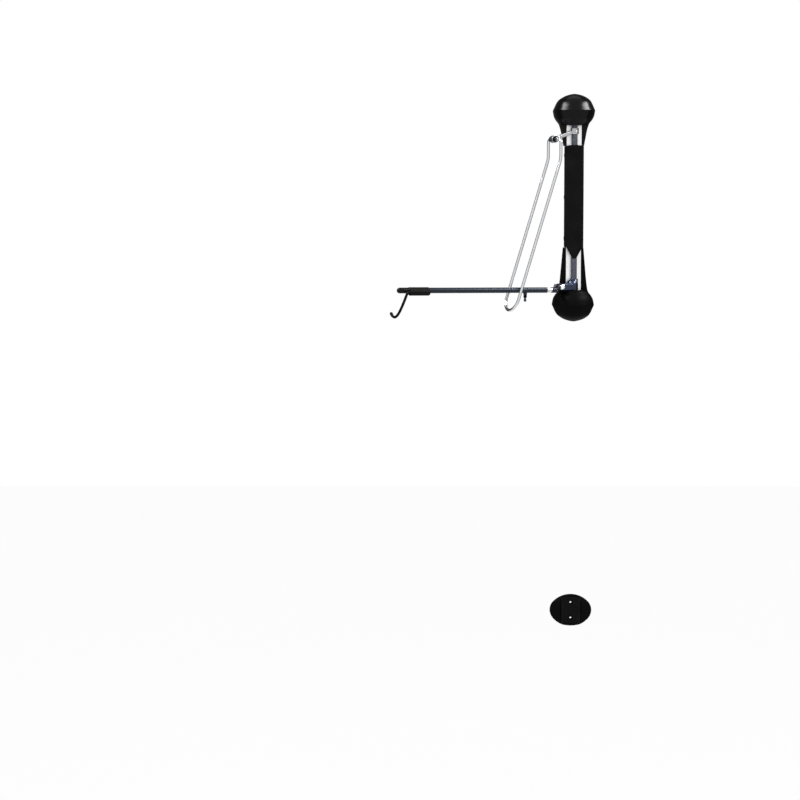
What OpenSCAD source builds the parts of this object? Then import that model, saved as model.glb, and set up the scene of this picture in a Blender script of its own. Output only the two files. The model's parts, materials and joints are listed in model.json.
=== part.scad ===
// Wall-mounted bike rack: an upright that screws to the wall, a swinging arm with a hook for the
// tyre, a hanging guide loop that goes round the tyre, and a separate tyre rest lower on the wall.
// Millimetres. The wall is the plane y = 0, the rack stands off it towards -Y, +Z is up, and the
// origin is the centre of the four wall holes. The arm is drawn swung out to one side and lowered.

/* [Upright] */
// Length of the upright tube
upright_h = 584; // [540:2:640]
// Width of the upright tube
upright_w = 45; // [40:1:46]
// Depth of the upright tube, from the wall plates to its front
upright_d = 38; // [34:1:40]
// Radius of the upright's front corners
upright_corner = 2.5; // [2.5:0.5:14]
// Wall of the upright tube
upright_wall = 2; // [1.5:0.5:3]

/* [Wall plates] */
// Width of a wall plate
plate_w = 83; // [80:1:86]
// Height of a wall plate
plate_h = 46; // [36:1:50]
// Thickness of a wall plate
plate_t = 3; // [2:0.5:5]
// Distance between the wall holes, sideways
hole_gap_x = 64; // [62:1:68]
// Distance between the upper and the lower wall holes
hole_gap_z = 528; // [510:2:580]
// Diameter of a wall hole
hole_d = 9; // [6:0.5:10]

/* [Swing axis] */
// Distance from the wall to the swing axis
axis_off = 60; // [59:0.5:62]
// Outside diameter of the pivot tube
tube_d = 16; // [14:0.5:18]
// Wall of the pivot tube
tube_wall = 2; // [1.5:0.5:3]
// Angle of the arm from straight out, as drawn
swing_rest = 64; // [0:1:78]

/* [Bearing brackets] */
// Height of each bracket's inner face above or below the origin
bracket_z = 231; // [229:0.5:236]
// Thickness of a bracket's plate
bracket_t = 8; // [6:0.5:10]
// Width of a bracket
bracket_w = 40; // [36:1:42]
// Height of a bracket's flange
flange_h = 35; // [33:1:40]
// Thickness of a bracket's flange
flange_t = 5; // [3:0.5:6]
// Wall of a bearing bush
bush_wall = 2; // [1.5:0.5:3]
// Thickness of a bush's flange
bush_flange = 2; // [1:0.5:2.5]
// Diameter of a bracket bolt
bolt_d = 6; // [5:1:6]

/* [End caps] */
// Width of a cap at its brim
cap_w = 114; // [108:1:120]
// Width of a cap's neck
cap_neck_w = 78.4; // [74:0.2:82]
// Height of the neck above or below the origin
cap_neck_z = 226.5; // [225:0.5:227]
// Height of the brim above or below the origin
cap_brim_z = 267; // [262:1:270]
// Height of the dome's top above or below the origin
cap_top_z = 313; // [308:1:320]
// Width of the dome over the brim
dome_w = 103; // [98:1:104]
// Wall of a cap
cap_wall = 3; // [2:0.5:4]
// Distance from the wall to the middle of the cap's round front
cap_centre = 45; // [42:1:46]
// Depth of the cheeks beside the upright
cheek_d = 45; // [41.5:0.5:46]
// Width over the tips of the cheeks
cheek_tip_w = 54.4; // [52:0.2:60]
// Height of the lower edge of the top cap's cheeks
top_cheek_z = 171; // [170.5:0.5:185]
// Height of the upper edge of the bottom cap's cheeks, below the origin
bottom_cheek_z = 109; // [108.5:0.5:140]

/* [Front cover] */
// Width of the cover
cover_w = 50; // [50:0.5:54]
// Wall of the cover
cover_wall = 2.5; // [1.5:0.5:2.5]
// Gap between the pivot tube and the cover's front wall
cover_gap = 2; // [1.5:0.5:4]
// Height of the cover's top edge
cover_top = 170; // [150:1:170]
// Rise of the top edge to its middle
cover_arch = 2.5; // [0:0.5:5]
// Distance from the origin down to the cover's sides
cover_side_low = 108; // [90:1:108]
// Distance from the origin down to the point of the cover
cover_tip_low = 138; // [120:1:150]
// Width of the blunt point
cover_tip_w = 11; // [6:1:16]
// Width of the cover's notch above the point
cover_notch_w = 42.5; // [30:0.5:44]
// Radius of the cover's front corners
cover_corner = 5; // [3:0.5:8]

/* [Collars and link] */
// Diameter of the upper collar
top_collar_d = 22; // [21:0.5:34]
// Height of the upper collar
top_collar_h = 17; // [15:1:19]
// Diameter of the lower collar
low_collar_d = 22; // [21:0.5:30]
// Height of the lower collar
low_collar_h = 34.7; // [33:0.1:38]
// Radius of the lower collar's round knuckle
knuckle_r = 16; // [14:0.5:17]
// Distance of the knuckle's middle from the swing axis
knuckle_a = 5; // [3:0.5:6]
// Distance from the swing axis to the guide loop's axis
loop_a = 66; // [60:1:72]
// Height of the guide loop's axis
loop_z = 188; // [180:1:192]
// Thickness of the hanger link
link_t = 8; // [6:1:12]
// Height of the hanger link's bar
link_h = 10; // [8:0.5:12]
// Width of the link's eye along its pin
eye_w = 16; // [12:1:18]
// Outside diameter of the link's eye
eye_d = 20; // [19:1:24]

/* [Guide loop] */
// Diameter of the loop's wire
wire_d = 8; // [6:0.5:8]
// Distance of the near leg from the arm's middle plane
near_leg = 39.5; // [39.5:0.5:48]
// Distance of the far leg from the arm's middle plane, on the other side
far_leg = 29.5; // [27:0.5:40]
// Drop from the loop's axis to its knee
knee_drop = 54; // [45:1:70]
// Length of the legs below the knee
leg_len = 434; // [400:1:440]
// Angle of the legs from upright, as drawn
leg_lean = 18.75; // [16:0.25:19]
// Radius of the knee
knee_r = 60; // [40:1:70]
// Radius of the loop's upper corners
top_bend_r = 12; // [10:0.5:14]
// Radius of the loop's round lower bow
low_bend_r = 34; // [14:0.5:34]
// Outside diameter of the tube that the wire's ends meet in
loop_tube_d = 12.4; // [12:0.2:13]

/* [Arm hinge] */
// Distance from the swing axis to the arm's hinge
hinge_a = 44; // [42:0.5:48]
// Height of the arm's hinge, below the origin
hinge_low = 216.5; // [214:0.5:216.5]
// Diameter of the hinge pin
pin_d = 10; // [8:0.5:12]
// Thickness of the arm's tongue between the clevis ears
tongue_w = 15.4; // [13:0.2:16]
// Thickness of a hinge washer
washer_t = 1; // [0.8:0.1:1.5]
// Thickness of a clevis ear
ear_t = 6; // [5:0.5:6.5]
// Radius of the clevis ears round the pin
ear_r = 9; // [8.2:0.2:9.2]
// Radius of the tongue round the pin
tongue_r = 9; // [8.6:0.1:9.8]

/* [Arm] */
// Rise of the arm above level, in degrees
arm_rise = 0.8; // [0:0.1:2]
// Drop from the hinge to the arm's centre line
arm_drop = 7.5; // [7:0.5:8]
// Distance of the arm's centre line from the middle plane
arm_b = 27; // [27:0.5:27.5]
// Outside diameter of the arm tube
arm_d = 15; // [14:0.5:15]
// Wall of the arm tube
arm_wall = 1.23; // [1:0.01:1.4]
// Distance from the hinge to the end of the arm's root
root_len = 42; // [40:1:44]
// Distance from the hinge to the start of the arm tube
arm_start = 58; // [56:1:66]
// Length of the arm tube
arm_len = 420; // [400:1:460]
// Length of the inner tube
inner_len = 210; // [180:1:240]

/* [Arm end] */
// Length of the rubber sleeve
sleeve_len = 60; // [54:1:70]
// Length of the grip tip beyond the tube
tip_len = 34; // [28:1:45]
// Diameter of the grip tip
tip_d = 15.6; // [14:0.2:15.8]
// Diameter of the hook rod
hook_d = 6.6; // [5:0.2:6.6]

/* [Clamp screw] */
// Distance from the hinge to the clamp screw
clamp_x = 124; // [110:1:140]
// Diameter of the clamp screw
clamp_d = 6; // [5:0.5:6]
// Diameter of the clamp's grip
knob_d = 9.4; // [9:0.2:11]
// Height of the clamp's grip
knob_h = 8; // [6:0.5:10]

/* [Tyre rest] */
// Height of the tyre rest's middle, below the origin
rest_low = 1128; // [700:1:1300]
// Half-width of the tyre rest
rest_a = 58.6; // [57:0.1:60]
// Half-height of the tyre rest
rest_b = 44.5; // [44:0.1:45]
// Depth of the tyre rest from the wall
rest_d = 27; // [25:0.5:32]
// Radius of its tyre groove
groove_r = 42; // [38:0.5:46]
// Width of its tyre groove
groove_w = 64; // [60:0.5:66]
// Distance between its screw holes
rest_hole_gap = 44; // [36:1:48]
// Diameter of its screw holes
rest_hole_d = 5.5; // [4:0.5:6]

/* [Hidden] */
$fn = 48;
eps = 0.01;
over = 1;

// Colours
zinc = [0.78, 0.79, 0.80];
chrome_col = [0.86, 0.87, 0.88];
dark_steel = [0.24, 0.27, 0.32];
black_plastic = [0.07, 0.07, 0.08];
rubber_black = [0.09, 0.09, 0.09];
nylon = [0.85, 0.84, 0.78];
bronze = [0.62, 0.47, 0.25];

// Clearances
running = 0.06;
close = 0.03;
loose = 0.2;
seat = 0.3;

// Upright and wall plates
upright_front = plate_t + upright_d;
plate_z = hole_gap_z / 2;
plate_corner = 6;
back_corner = 4;

// Bearings
tube_r = tube_d / 2;
bush_r = tube_r + bush_wall;
bush_flange_r = bush_r + 3;
bracket_nose_r = bush_r + 7;
bolt_low = 15;
bolt_high = 27;
bolt_head_r = 5;
bolt_head_h = 3.3;
bolt_len = 18;
rivet_nut_r = bolt_d / 2 + 1.5;
rivet_nut_len = 10;

// Pivot tube and what holds it
ring_t = 1.2;
ring_z = bracket_z + bracket_t + ring_t / 2 + seat;
groove_depth = 0.7;
tube_half = ring_z + 6;
plug_h = 3;
plug_spigot = 10;

// Collars
top_collar_z = bracket_z - bush_flange - 10;
low_collar_z = -(bracket_z - bush_flange) + seat;
collar_pin_r = 2;
chamfer = 1.2;
link_start_z = top_collar_z - 10;

// Cover
cover_front = axis_off + tube_r + cover_gap + cover_wall;
cover_back = 10;
cover_rivet_y = 24;
cover_rivet_z = [cover_top - 25, 30, -cover_side_low + 25];
rivet_r = 2.4;
rivet_head_r = 4.5;
rivet_head_t = 1.5;

// Caps
brim_flare = 5;
cap_chin = [[0, 0], [0.11, 0.08], [0.25, 0.31], [0.38, 0.55], [0.59, 0.8], [0.78, 0.91], [0.9, 0.96], [1, 1]];
cheek_edge = [[0, 0], [0.2, 0.17], [0.44, 0.38], [0.8, 0.71], [1, 1]];
dome_base_z = cap_brim_z + brim_flare;
dome_rise = cap_top_z - dome_base_z;
notch_z = cap_brim_z + 14.5;
cap_screw_y = 24;
cap_screw_r = 1.9;
cap_screw_head_r = 3.6;
cap_floor = 2.5;
cap_bore_r = 18.2;

// Hinge
hinge_z = -hinge_low;
washer_b = tongue_w / 2 + 0.15;
ear_b = washer_b + washer_t + 0.15;
ear_out = ear_b + ear_t;
pin_r = pin_d / 2;
pin_head_r = pin_r + 2.3;
pin_head_t = 4;
nut_t = 7;
hinge_bush_r = pin_r + 2;
heel_low = 6.5;
root_low = 9;
root_top = -1.5;
stop_gap = 0.3;

// Arm
arm_r = arm_d / 2;
arm_in_r = arm_r - arm_wall;
inner_r = arm_in_r - 0.07;
inner_wall = 1.4;
arm_end = arm_start + arm_len;
socket_from = 26;
root_pin_r = 2;
root_pin_x = root_len - 8;
end_ring_len = 4;
sleeve_r = arm_r + 1.3;
pad_r = 9.7;
pad_b = 5;
pad_z = -4;
hook_r = hook_d / 2;
shank_b = 10.7;
shank_len = 50;

// Clamp screw
clamp_r = clamp_d / 2;
boss_h = 4.5;
neck_h = 4;
ball_r = 3.9;

// Guide loop
wire_r = wire_d / 2;
loop_tube_r = loop_tube_d / 2;
loop_bush_r = loop_tube_r + 1.6;
loop_collar_w = 6;
loop_collar_r = loop_tube_r + 2;
wire_end_gap = 6;
lap = 0.1;
knee_tangent = knee_r * tan(leg_lean / 2);
low_straight = leg_len - knee_tangent - low_bend_r;

// Tyre rest: an oval of four arcs that meet smoothly
rest_end_r = 34;
rest_end_x = rest_a - rest_end_r;
rest_rise = rest_b - rest_end_r;
rest_flank_off = (rest_end_x * rest_end_x - rest_rise * rest_rise) / (2 * rest_rise);
rest_flank_r = rest_b + rest_flank_off;
rest_tangent_x = rest_end_x * rest_flank_r / (rest_flank_r - rest_end_r);
crown_r = 90;
crown_y = crown_r - rest_d - 1;
ridge_y = crown_y - sqrt(crown_r * crown_r - groove_w * groove_w / 4);
liner_t = 2.5;
liner_h = 72;
liner_w = 54;
rest_head_d = 11;

// A frame at the swing axis: X runs out along the arm, Y to the near side, Z up
module swing_frame() {
    translate([0, -axis_off, 0]) rotate([0, 0, -90 - swing_rest]) children();
}

// A frame at the arm's hinge, X along the arm
module hinge_frame() {
    swing_frame() translate([hinge_a, 0, hinge_z]) rotate([0, -arm_rise, 0]) children();
}

// A frame on the arm's centre line, X measured from the hinge
module arm_frame() {
    hinge_frame() translate([0, arm_b, -arm_drop]) children();
}

// A frame on the guide loop's axis
module loop_frame() {
    swing_frame() translate([loop_a, 0, loop_z]) children();
}

// Cylinders along X and along Y, centred on the axis, between two stations
module rod_x(from, to, r) {
    translate([from, 0, 0]) rotate([0, 90, 0]) cylinder(h = to - from, r = r);
}
module rod_y(from, to, r) {
    translate([0, from, 0]) rotate([-90, 0, 0]) cylinder(h = to - from, r = r);
}
module rod_z(from, to, r) {
    translate([0, 0, from]) cylinder(h = to - from, r = r);
}

// Copies for the upper and the lower end of the upright
module both_ends() {
    for (side = [0, 1]) mirror([0, 0, side]) children();
}
module both_sides() {
    for (side = [0, 1]) mirror([side, 0, 0]) children();
}

// A rectangle with round corners, made of squares and circles
module round_rect(w, h, r) {
    square([w, h - 2 * r], center = true);
    square([w - 2 * r, h], center = true);
    for (x = [-1, 1], y = [-1, 1]) translate([x * (w / 2 - r), y * (h / 2 - r)]) circle(r);
}

// The upright's outline seen from above, shrunk by an inset, with its back on the wall plates
module upright_outline(inset) {
    w = upright_w - 2 * inset;
    front_r = upright_corner - inset;
    back_r = back_corner - inset;
    y_front = -upright_front + inset;
    y_back = -plate_t - inset;
    translate([-w / 2, y_front + front_r]) square([w, y_back - back_r - y_front - front_r]);
    translate([-w / 2 + front_r, y_front]) square([w - 2 * front_r, front_r + eps]);
    translate([-w / 2 + back_r, y_back - back_r - eps]) square([w - 2 * back_r, back_r + eps]);
    for (x = [-1, 1]) translate([x * (w / 2 - front_r), y_front + front_r]) circle(front_r);
    for (x = [-1, 1]) translate([x * (w / 2 - back_r), y_back - back_r]) circle(back_r);
}

module bracket_bolt_places() {
    for (z = [bracket_z + bolt_low, bracket_z + bolt_high]) translate([0, 0, z]) children();
}

module cap_screw_places() {
    for (z = [top_cheek_z + 19, -bottom_cheek_z - 19]) both_sides() translate([0, -cap_screw_y, z]) children();
}

module cover_rivet_places() {
    for (z = cover_rivet_z) both_sides() translate([0, -cover_rivet_y, z]) children();
}

module upright() {
    color(zinc) difference() {
        translate([0, 0, -upright_h / 2]) linear_extrude(upright_h) difference() {
            upright_outline(0);
            upright_outline(upright_wall);
        }
        both_ends() bracket_bolt_places()
            rod_y(-upright_front - over, -upright_front + upright_wall + over, rivet_nut_r + 0.1);
        cap_screw_places() rod_x(upright_w / 2 - upright_wall - over, upright_w / 2 + over, cap_screw_r + loose);
        cover_rivet_places() rod_x(upright_w / 2 - upright_wall - over, upright_w / 2 + over, rivet_r + loose);
    }
}

module wall_plate() {
    color(zinc) difference() {
        translate([0, 0, plate_z]) rotate([90, 0, 0]) linear_extrude(plate_t)
            round_rect(plate_w, plate_h, plate_corner);
        both_sides() translate([hole_gap_x / 2, 0, plate_z]) rod_y(-plate_t - over, over, hole_d / 2);
    }
}
module top_wall_plate() wall_plate();
module bottom_wall_plate() mirror([0, 0, 1]) wall_plate();

// An angle bracket: its flange bolts to the upright and its plate holds the bush
module bearing_bracket() {
    color(zinc) difference() {
        union() {
            translate([0, 0, bracket_z]) linear_extrude(bracket_t) {
                translate([-bracket_w / 2, -axis_off]) square([bracket_w, axis_off - upright_front]);
                translate([0, -axis_off]) circle(bracket_nose_r);
            }
            translate([-bracket_w / 2, -upright_front - flange_t, bracket_z])
                cube([bracket_w, flange_t, flange_h]);
        }
        translate([0, -axis_off, 0]) rod_z(bracket_z - over, bracket_z + bracket_t + over, bush_r + close);
        bracket_bolt_places()
            rod_y(-upright_front - flange_t - over, -upright_front + over, bolt_d / 2 + loose);
        translate([0, 0, bracket_z - over]) linear_extrude(bracket_t + 2 * over)
            translate([-upright_w / 2, -upright_front]) square([upright_w, upright_front]);
    }
}
module top_bearing_bracket() bearing_bracket();
module bottom_bearing_bracket() mirror([0, 0, 1]) bearing_bracket();

module bracket_bolts() {
    head_back = -upright_front - flange_t;
    color(zinc) both_ends() bracket_bolt_places() difference() {
        union() {
            rod_y(head_back - bolt_head_h, head_back, bolt_head_r);
            rod_y(head_back, head_back + bolt_len, bolt_d / 2);
        }
        translate([0, head_back - bolt_head_h - eps, 0]) rotate([-90, 0, 0]) cylinder(h = 2, r = 2, $fn = 6);
    }
}

module rivet_nuts() {
    color(zinc) both_ends() bracket_bolt_places() difference() {
        rod_y(-upright_front, -upright_front + rivet_nut_len, rivet_nut_r);
        rod_y(-upright_front - over, -upright_front + rivet_nut_len + over, bolt_d / 2 + 0.1);
    }
}

module bearing_bush() {
    color(nylon) translate([0, -axis_off, 0]) difference() {
        union() {
            rod_z(bracket_z, bracket_z + bracket_t, bush_r);
            rod_z(bracket_z - bush_flange, bracket_z, bush_flange_r);
        }
        rod_z(bracket_z - bush_flange - over, bracket_z + bracket_t + over, tube_r + running);
    }
}
module top_bush() bearing_bush();
module bottom_bush() mirror([0, 0, 1]) bearing_bush();

// The cover's outline seen from above: open at the back, round at the front corners
module cover_outline(inset) {
    w = cover_w - 2 * inset;
    r = cover_corner - min(inset, cover_corner - 1);
    y_front = -cover_front + inset;
    translate([-w / 2, y_front + r]) square([w, cover_front - inset - r - cover_back]);
    translate([-w / 2 + r, y_front]) square([w - 2 * r, r + eps]);
    for (x = [-1, 1]) translate([x * (w / 2 - r), y_front + r]) circle(r);
}

// The cover seen from the front: an arched top edge and a blunt point
module cover_face() {
    steps = 12;
    half = cover_w / 2;
    top = [for (i = [0 : steps])
        let (x = half - cover_w * i / steps) [x, cover_top + cover_arch * (1 - pow(x / half, 2))]];
    low = [[-half, -cover_side_low], [-cover_notch_w / 2, -cover_side_low],
        [-cover_tip_w / 2, -cover_tip_low], [cover_tip_w / 2, -cover_tip_low],
        [cover_notch_w / 2, -cover_side_low], [half, -cover_side_low]];
    polygon(concat(top, low));
}

module front_cover() {
    rib_t = cover_wall;
    color(black_plastic) difference() {
        intersection() {
            translate([0, 0, -cover_tip_low]) linear_extrude(cover_tip_low + cover_top + cover_arch)
                cover_outline(0);
            rotate([90, 0, 0]) linear_extrude(cover_front + over) cover_face();
        }
        difference() {
            translate([0, over, -cover_tip_low - over])
                linear_extrude(cover_tip_low + cover_top + cover_arch + 2 * over) union() {
                    translate([0, -over]) cover_outline(cover_wall);
                    translate([-cover_w / 2 + cover_wall, -cover_back - 2 * over])
                        square([cover_w - 2 * cover_wall, 4 * over]);
                }
            for (z = [cover_top - rib_t, -cover_side_low])
                translate([-cover_w / 2, -cover_front, z]) cube([cover_w, cover_front, rib_t]);
            cover_rivet_places() rod_x(upright_w / 2, cover_w / 2, rivet_head_r + 1);
        }
        translate([0, 0, -cover_tip_low - over]) linear_extrude(cover_tip_low + cover_top + 3 * over)
            translate([-upright_w / 2 - loose, -upright_front - loose])
                square([upright_w + 2 * loose, upright_front]);
        translate([0, -axis_off, 0]) rod_z(-cover_tip_low - over, cover_top + cover_arch + over, tube_r + 1.5);
        cover_rivet_places() rod_x(upright_w / 2 - over, cover_w / 2 + over, rivet_r + loose);
    }
}

module cover_rivets() {
    color(black_plastic) cover_rivet_places() {
        rod_x(upright_w / 2 - upright_wall - 3, cover_w / 2, rivet_r);
        rod_x(cover_w / 2, cover_w / 2 + rivet_head_t, rivet_head_r);
    }
}

// Half-outline of a cap from its neck up to its top, moved inwards by an inset
function brim_curve(inset) = [for (k = [0 : 2 * (len(cap_chin) - 1)]) let (p = curve_at(cap_chin, k / 2))
    [cap_neck_w / 2 - inset + (cap_w - cap_neck_w) / 2 * p[1],
     cap_neck_z + (cap_brim_z - cap_neck_z) * p[0] + inset * p[0] / 2]];
function dome_curve(inset) = [for (t = [14 : 9.5 : 90])
    [(dome_w / 2 - inset) * cos(t), dome_base_z + (dome_rise - inset) * sin(t)]];
function cap_half(inset) = concat([[0, cap_neck_z]], brim_curve(inset), dome_curve(inset),
    [[0, cap_top_z - inset]]);

// A cap's body: half a turn in front, carried straight back to the wall
module cap_solid(inset) {
    translate([0, -cap_centre, 0]) rotate([0, 0, 180]) rotate_extrude(angle = 180)
        polygon(cap_half(inset));
    rotate([90, 0, 0]) linear_extrude(cap_centre) {
        polygon(cap_half(inset));
        mirror([1, 0, 0]) polygon(cap_half(inset));
    }
}

// The cheeks beside the upright, tapering from the neck to the cover
module cap_cheeks(low_z) {
    foot = cheek_tip_w / 2;
    neck = cap_neck_w / 2 - 0.2;
    edge = [for (p = cheek_edge) [foot + (neck - foot) * p[1], low_z + (cap_neck_z - low_z) * p[0]]];
    both_sides() rotate([90, 0, 0]) linear_extrude(cheek_d) polygon(concat(
        [[upright_w / 2 + loose, low_z]], edge,
        [[neck, cap_neck_z + cap_floor], [upright_w / 2 + loose, cap_neck_z + cap_floor]]));
}

module end_cap(low_z) {
    screw_z = low_z + 19;
    screw_seat = upright_w / 2 + loose + 1.6;
    color(black_plastic) difference() {
        union() {
            difference() {
                cap_solid(0);
                difference() {
                    intersection() {
                        cap_solid(cap_wall);
                        translate([-cap_w, -2 * cap_w, 0]) cube([2 * cap_w, 2 * cap_w + over, cap_top_z]);
                    }
                    translate([-cap_w, -2 * cap_w, cap_neck_z - over])
                        cube([2 * cap_w, 2 * cap_w + over, cap_floor + over]);
                }
                translate([-cap_neck_w / 2 + cap_wall, -cap_wall, cap_neck_z + cap_floor])
                    cube([cap_neck_w - 2 * cap_wall, 2 * cap_wall, plate_z - cap_neck_z]);
            }
            cap_cheeks(low_z);
        }
        translate([-upright_w / 2 - loose, -upright_front - loose, low_z - over])
            cube([upright_w + 2 * loose, upright_front + over, upright_h / 2 - low_z + 2 * over]);
        translate([0, -axis_off, 0]) rod_z(cap_neck_z - over, cap_neck_z + cap_floor + over, cap_bore_r);
        both_sides() translate([0, -cap_screw_y, screw_z]) {
            rod_x(upright_w / 2, screw_seat + over, cap_screw_r + loose);
            rod_x(screw_seat, cap_w / 2, cap_screw_head_r + loose);
        }
    }
}
module top_cap() end_cap(top_cheek_z);
module bottom_cap() mirror([0, 0, 1]) end_cap(bottom_cheek_z);

module cap_screws() {
    head_from = upright_w / 2 + loose + 1.6;
    color(zinc) cap_screw_places() difference() {
        union() {
            rod_x(upright_w / 2 - upright_wall - 4, head_from, cap_screw_r);
            rod_x(head_from, head_from + 2, cap_screw_head_r);
        }
        translate([head_from + 1, -0.4, -2.2]) cube([over + 1, 0.8, 4.4]);
        translate([head_from + 1, -2.2, -0.4]) cube([over + 1, 4.4, 0.8]);
    }
}

// The rest's oval, seen from the front
module rest_oval() {
    intersection() {
        translate([0, rest_flank_off]) circle(rest_flank_r, $fn = 96);
        translate([0, -rest_flank_off]) circle(rest_flank_r, $fn = 96);
        square([2 * rest_tangent_x, 2 * rest_b + over], center = true);
    }
    for (x = [-1, 1]) translate([x * rest_end_x, 0]) circle(rest_end_r);
}

module rest_groove(r) {
    centre_y = ridge_y - sqrt(groove_r * groove_r - groove_w * groove_w / 4);
    translate([0, centre_y, -rest_b - over]) cylinder(h = 2 * (rest_b + over), r = r, $fn = 96);
}

module rest_hole_places() {
    for (z = [-1, 1]) translate([0, 0, z * rest_hole_gap / 2]) children();
}

module tyre_rest() {
    color(black_plastic) translate([0, 0, -rest_low]) difference() {
        intersection() {
            rotate([90, 0, 0]) linear_extrude(rest_d) rest_oval();
            translate([0, crown_y, 0]) sphere(crown_r, $fn = 96);
        }
        rest_groove(groove_r);
        rest_hole_places() rod_y(-rest_d, over, rest_hole_d / 2);
    }
}

module rest_liner() {
    color(rubber_black) translate([0, 0, -rest_low]) difference() {
        intersection() {
            rest_groove(groove_r);
            translate([-liner_w / 2, -rest_d, -liner_h / 2]) cube([liner_w, rest_d, liner_h]);
        }
        rest_groove(groove_r - liner_t);
        rest_hole_places() rod_y(-rest_d, over, rest_head_d / 2 + 1);
    }
}

module pivot_tube() {
    color(dark_steel) swing_frame() difference() {
        rod_z(-tube_half, tube_half, tube_r);
        rod_z(-tube_half - over, tube_half + over, tube_r - tube_wall);
        both_ends() difference() {
            rod_z(ring_z - ring_t / 2 - 0.1, ring_z + ring_t / 2 + 0.1, tube_r + over);
            rod_z(ring_z - ring_t, ring_z + ring_t, tube_r - groove_depth);
        }
        collar_pin_holes();
    }
}

module collar_pin_holes() {
    for (z = [top_collar_z - top_collar_h / 2, low_collar_z + low_collar_h - 5])
        translate([0, 0, z]) rod_y(-low_collar_d, low_collar_d, collar_pin_r + 0.05);
}

module collar_pins() {
    color(zinc) swing_frame() {
        translate([0, 0, top_collar_z - top_collar_h / 2])
            rod_y(-top_collar_d / 2 + 0.5, top_collar_d / 2 - 0.5, collar_pin_r);
        translate([0, 0, low_collar_z + low_collar_h - 5])
            rod_y(-low_collar_d / 2 + 0.5, low_collar_d / 2 - 0.5, collar_pin_r);
    }
}

module tube_plugs() {
    color(black_plastic) swing_frame() both_ends() {
        rod_z(tube_half, tube_half + plug_h, tube_r);
        rod_z(tube_half - plug_spigot, tube_half, tube_r - tube_wall - close);
    }
}

module retaining_rings() {
    color(dark_steel) swing_frame() both_ends() difference() {
        rod_z(ring_z - ring_t / 2, ring_z + ring_t / 2, tube_r + 3);
        rod_z(ring_z - ring_t, ring_z + ring_t, tube_r - groove_depth + 0.05);
        translate([0, -tube_r * 0.45, ring_z - ring_t]) cube([2 * tube_r, tube_r * 0.9, 2 * ring_t]);
    }
}

// A collar with chamfered rims
module collar_blank(low, high, r) {
    rod_z(low + chamfer, high - chamfer, r);
    translate([0, 0, low]) cylinder(h = chamfer, r1 = r - chamfer, r2 = r);
    translate([0, 0, high - chamfer]) cylinder(h = chamfer, r1 = r, r2 = r - chamfer);
}

module top_collar() {
    color(chrome_col) swing_frame() difference() {
        collar_blank(top_collar_z - top_collar_h, top_collar_z, top_collar_d / 2);
        rod_z(top_collar_z - top_collar_h - over, top_collar_z + over, tube_r + close);
        collar_pin_holes();
    }
}

// The link that carries the guide loop: a bar from the upper collar to an eye
module hanger_link() {
    start_a = top_collar_d / 2 - 5;
    run = loop_a - start_a;
    fall = link_start_z - loop_z;
    color(chrome_col) swing_frame() difference() {
        union() {
            translate([start_a, -link_t / 2, link_start_z]) rotate([0, atan2(fall, run), 0])
                translate([0, 0, -link_h / 2]) cube([norm([run, fall]), link_t, link_h]);
            translate([loop_a, 0, loop_z]) rod_y(-eye_w / 2, eye_w / 2, eye_d / 2);
        }
        translate([loop_a, 0, loop_z]) rod_y(-eye_w, eye_w, loop_bush_r + close);
        rod_z(top_collar_z - top_collar_h - over, top_collar_z + over, top_collar_d / 2 + 0.02);
    }
}

module link_bush() {
    color(nylon) loop_frame() difference() {
        rod_y(-eye_w / 2, eye_w / 2, loop_bush_r);
        rod_y(-eye_w, eye_w, loop_tube_r + running);
    }
}

// The round knuckle on the lower collar: a cylinder with a domed top
module knuckle(low, middle, top) {
    rise = top - middle;
    translate([knuckle_a, 0, 0]) rotate_extrude($fn = 96) polygon([
        [0, low], [knuckle_r - chamfer, low], [knuckle_r, low + chamfer], [knuckle_r, middle],
        for (t = [10:10:80]) [knuckle_r * cos(t), middle + rise * sin(t)], [0, top]]);
}

// The lower collar with the two ears that hold the arm's hinge pin, and the web that stops the arm
module arm_clevis() {
    collar_top = low_collar_z + low_collar_h;
    web_a = hinge_a - tongue_r - stop_gap;
    web_low = hinge_z - ear_r;
    color(dark_steel) swing_frame() difference() {
        union() {
            collar_blank(low_collar_z, collar_top, low_collar_d / 2);
            knuckle(web_low + 0.5, hinge_z + 5.5, collar_top - 0.8);
            for (side = [-1, 1]) translate([0, side * (ear_b + ear_t / 2), 0])
                rotate([90, 0, 0]) translate([0, 0, -ear_t / 2]) linear_extrude(ear_t) {
                    translate([0, web_low]) square([hinge_a, 2 * ear_r]);
                    translate([hinge_a, hinge_z]) circle(ear_r);
                }
            translate([0, -ear_b - eps, web_low]) cube([web_a, 2 * ear_b + 2 * eps, 2 * ear_r]);
        }
        rod_z(low_collar_z - over, collar_top + over, tube_r + close);
        translate([hinge_a, 0, hinge_z]) rod_y(-ear_out - over, ear_out + over, pin_r + close);
        collar_pin_holes();
    }
}

module hinge_pin() {
    color(zinc) hinge_frame() difference() {
        union() {
            rod_y(-ear_out - nut_t - 1.5, ear_out + eps, pin_r);
            rod_y(ear_out, ear_out + pin_head_t, pin_head_r);
        }
        translate([0, ear_out + pin_head_t + eps, 0]) rotate([90, 0, 0])
            cylinder(h = 2.4, r = pin_r * 0.6, $fn = 6);
    }
}

module hinge_nut() {
    color(zinc) hinge_frame() difference() {
        translate([0, -ear_out, 0]) rotate([90, 0, 0]) cylinder(h = nut_t, r = pin_r * 1.85, $fn = 6);
        rod_y(-ear_out - nut_t - over, -ear_out + over, pin_r + close);
    }
}

module hinge_washers() {
    color(nylon) hinge_frame() for (side = [0, 1]) mirror([0, side, 0]) difference() {
        rod_y(washer_b, washer_b + washer_t, tongue_r - 0.5);
        rod_y(washer_b - over, washer_b + washer_t + over, pin_r + running);
    }
}

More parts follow.
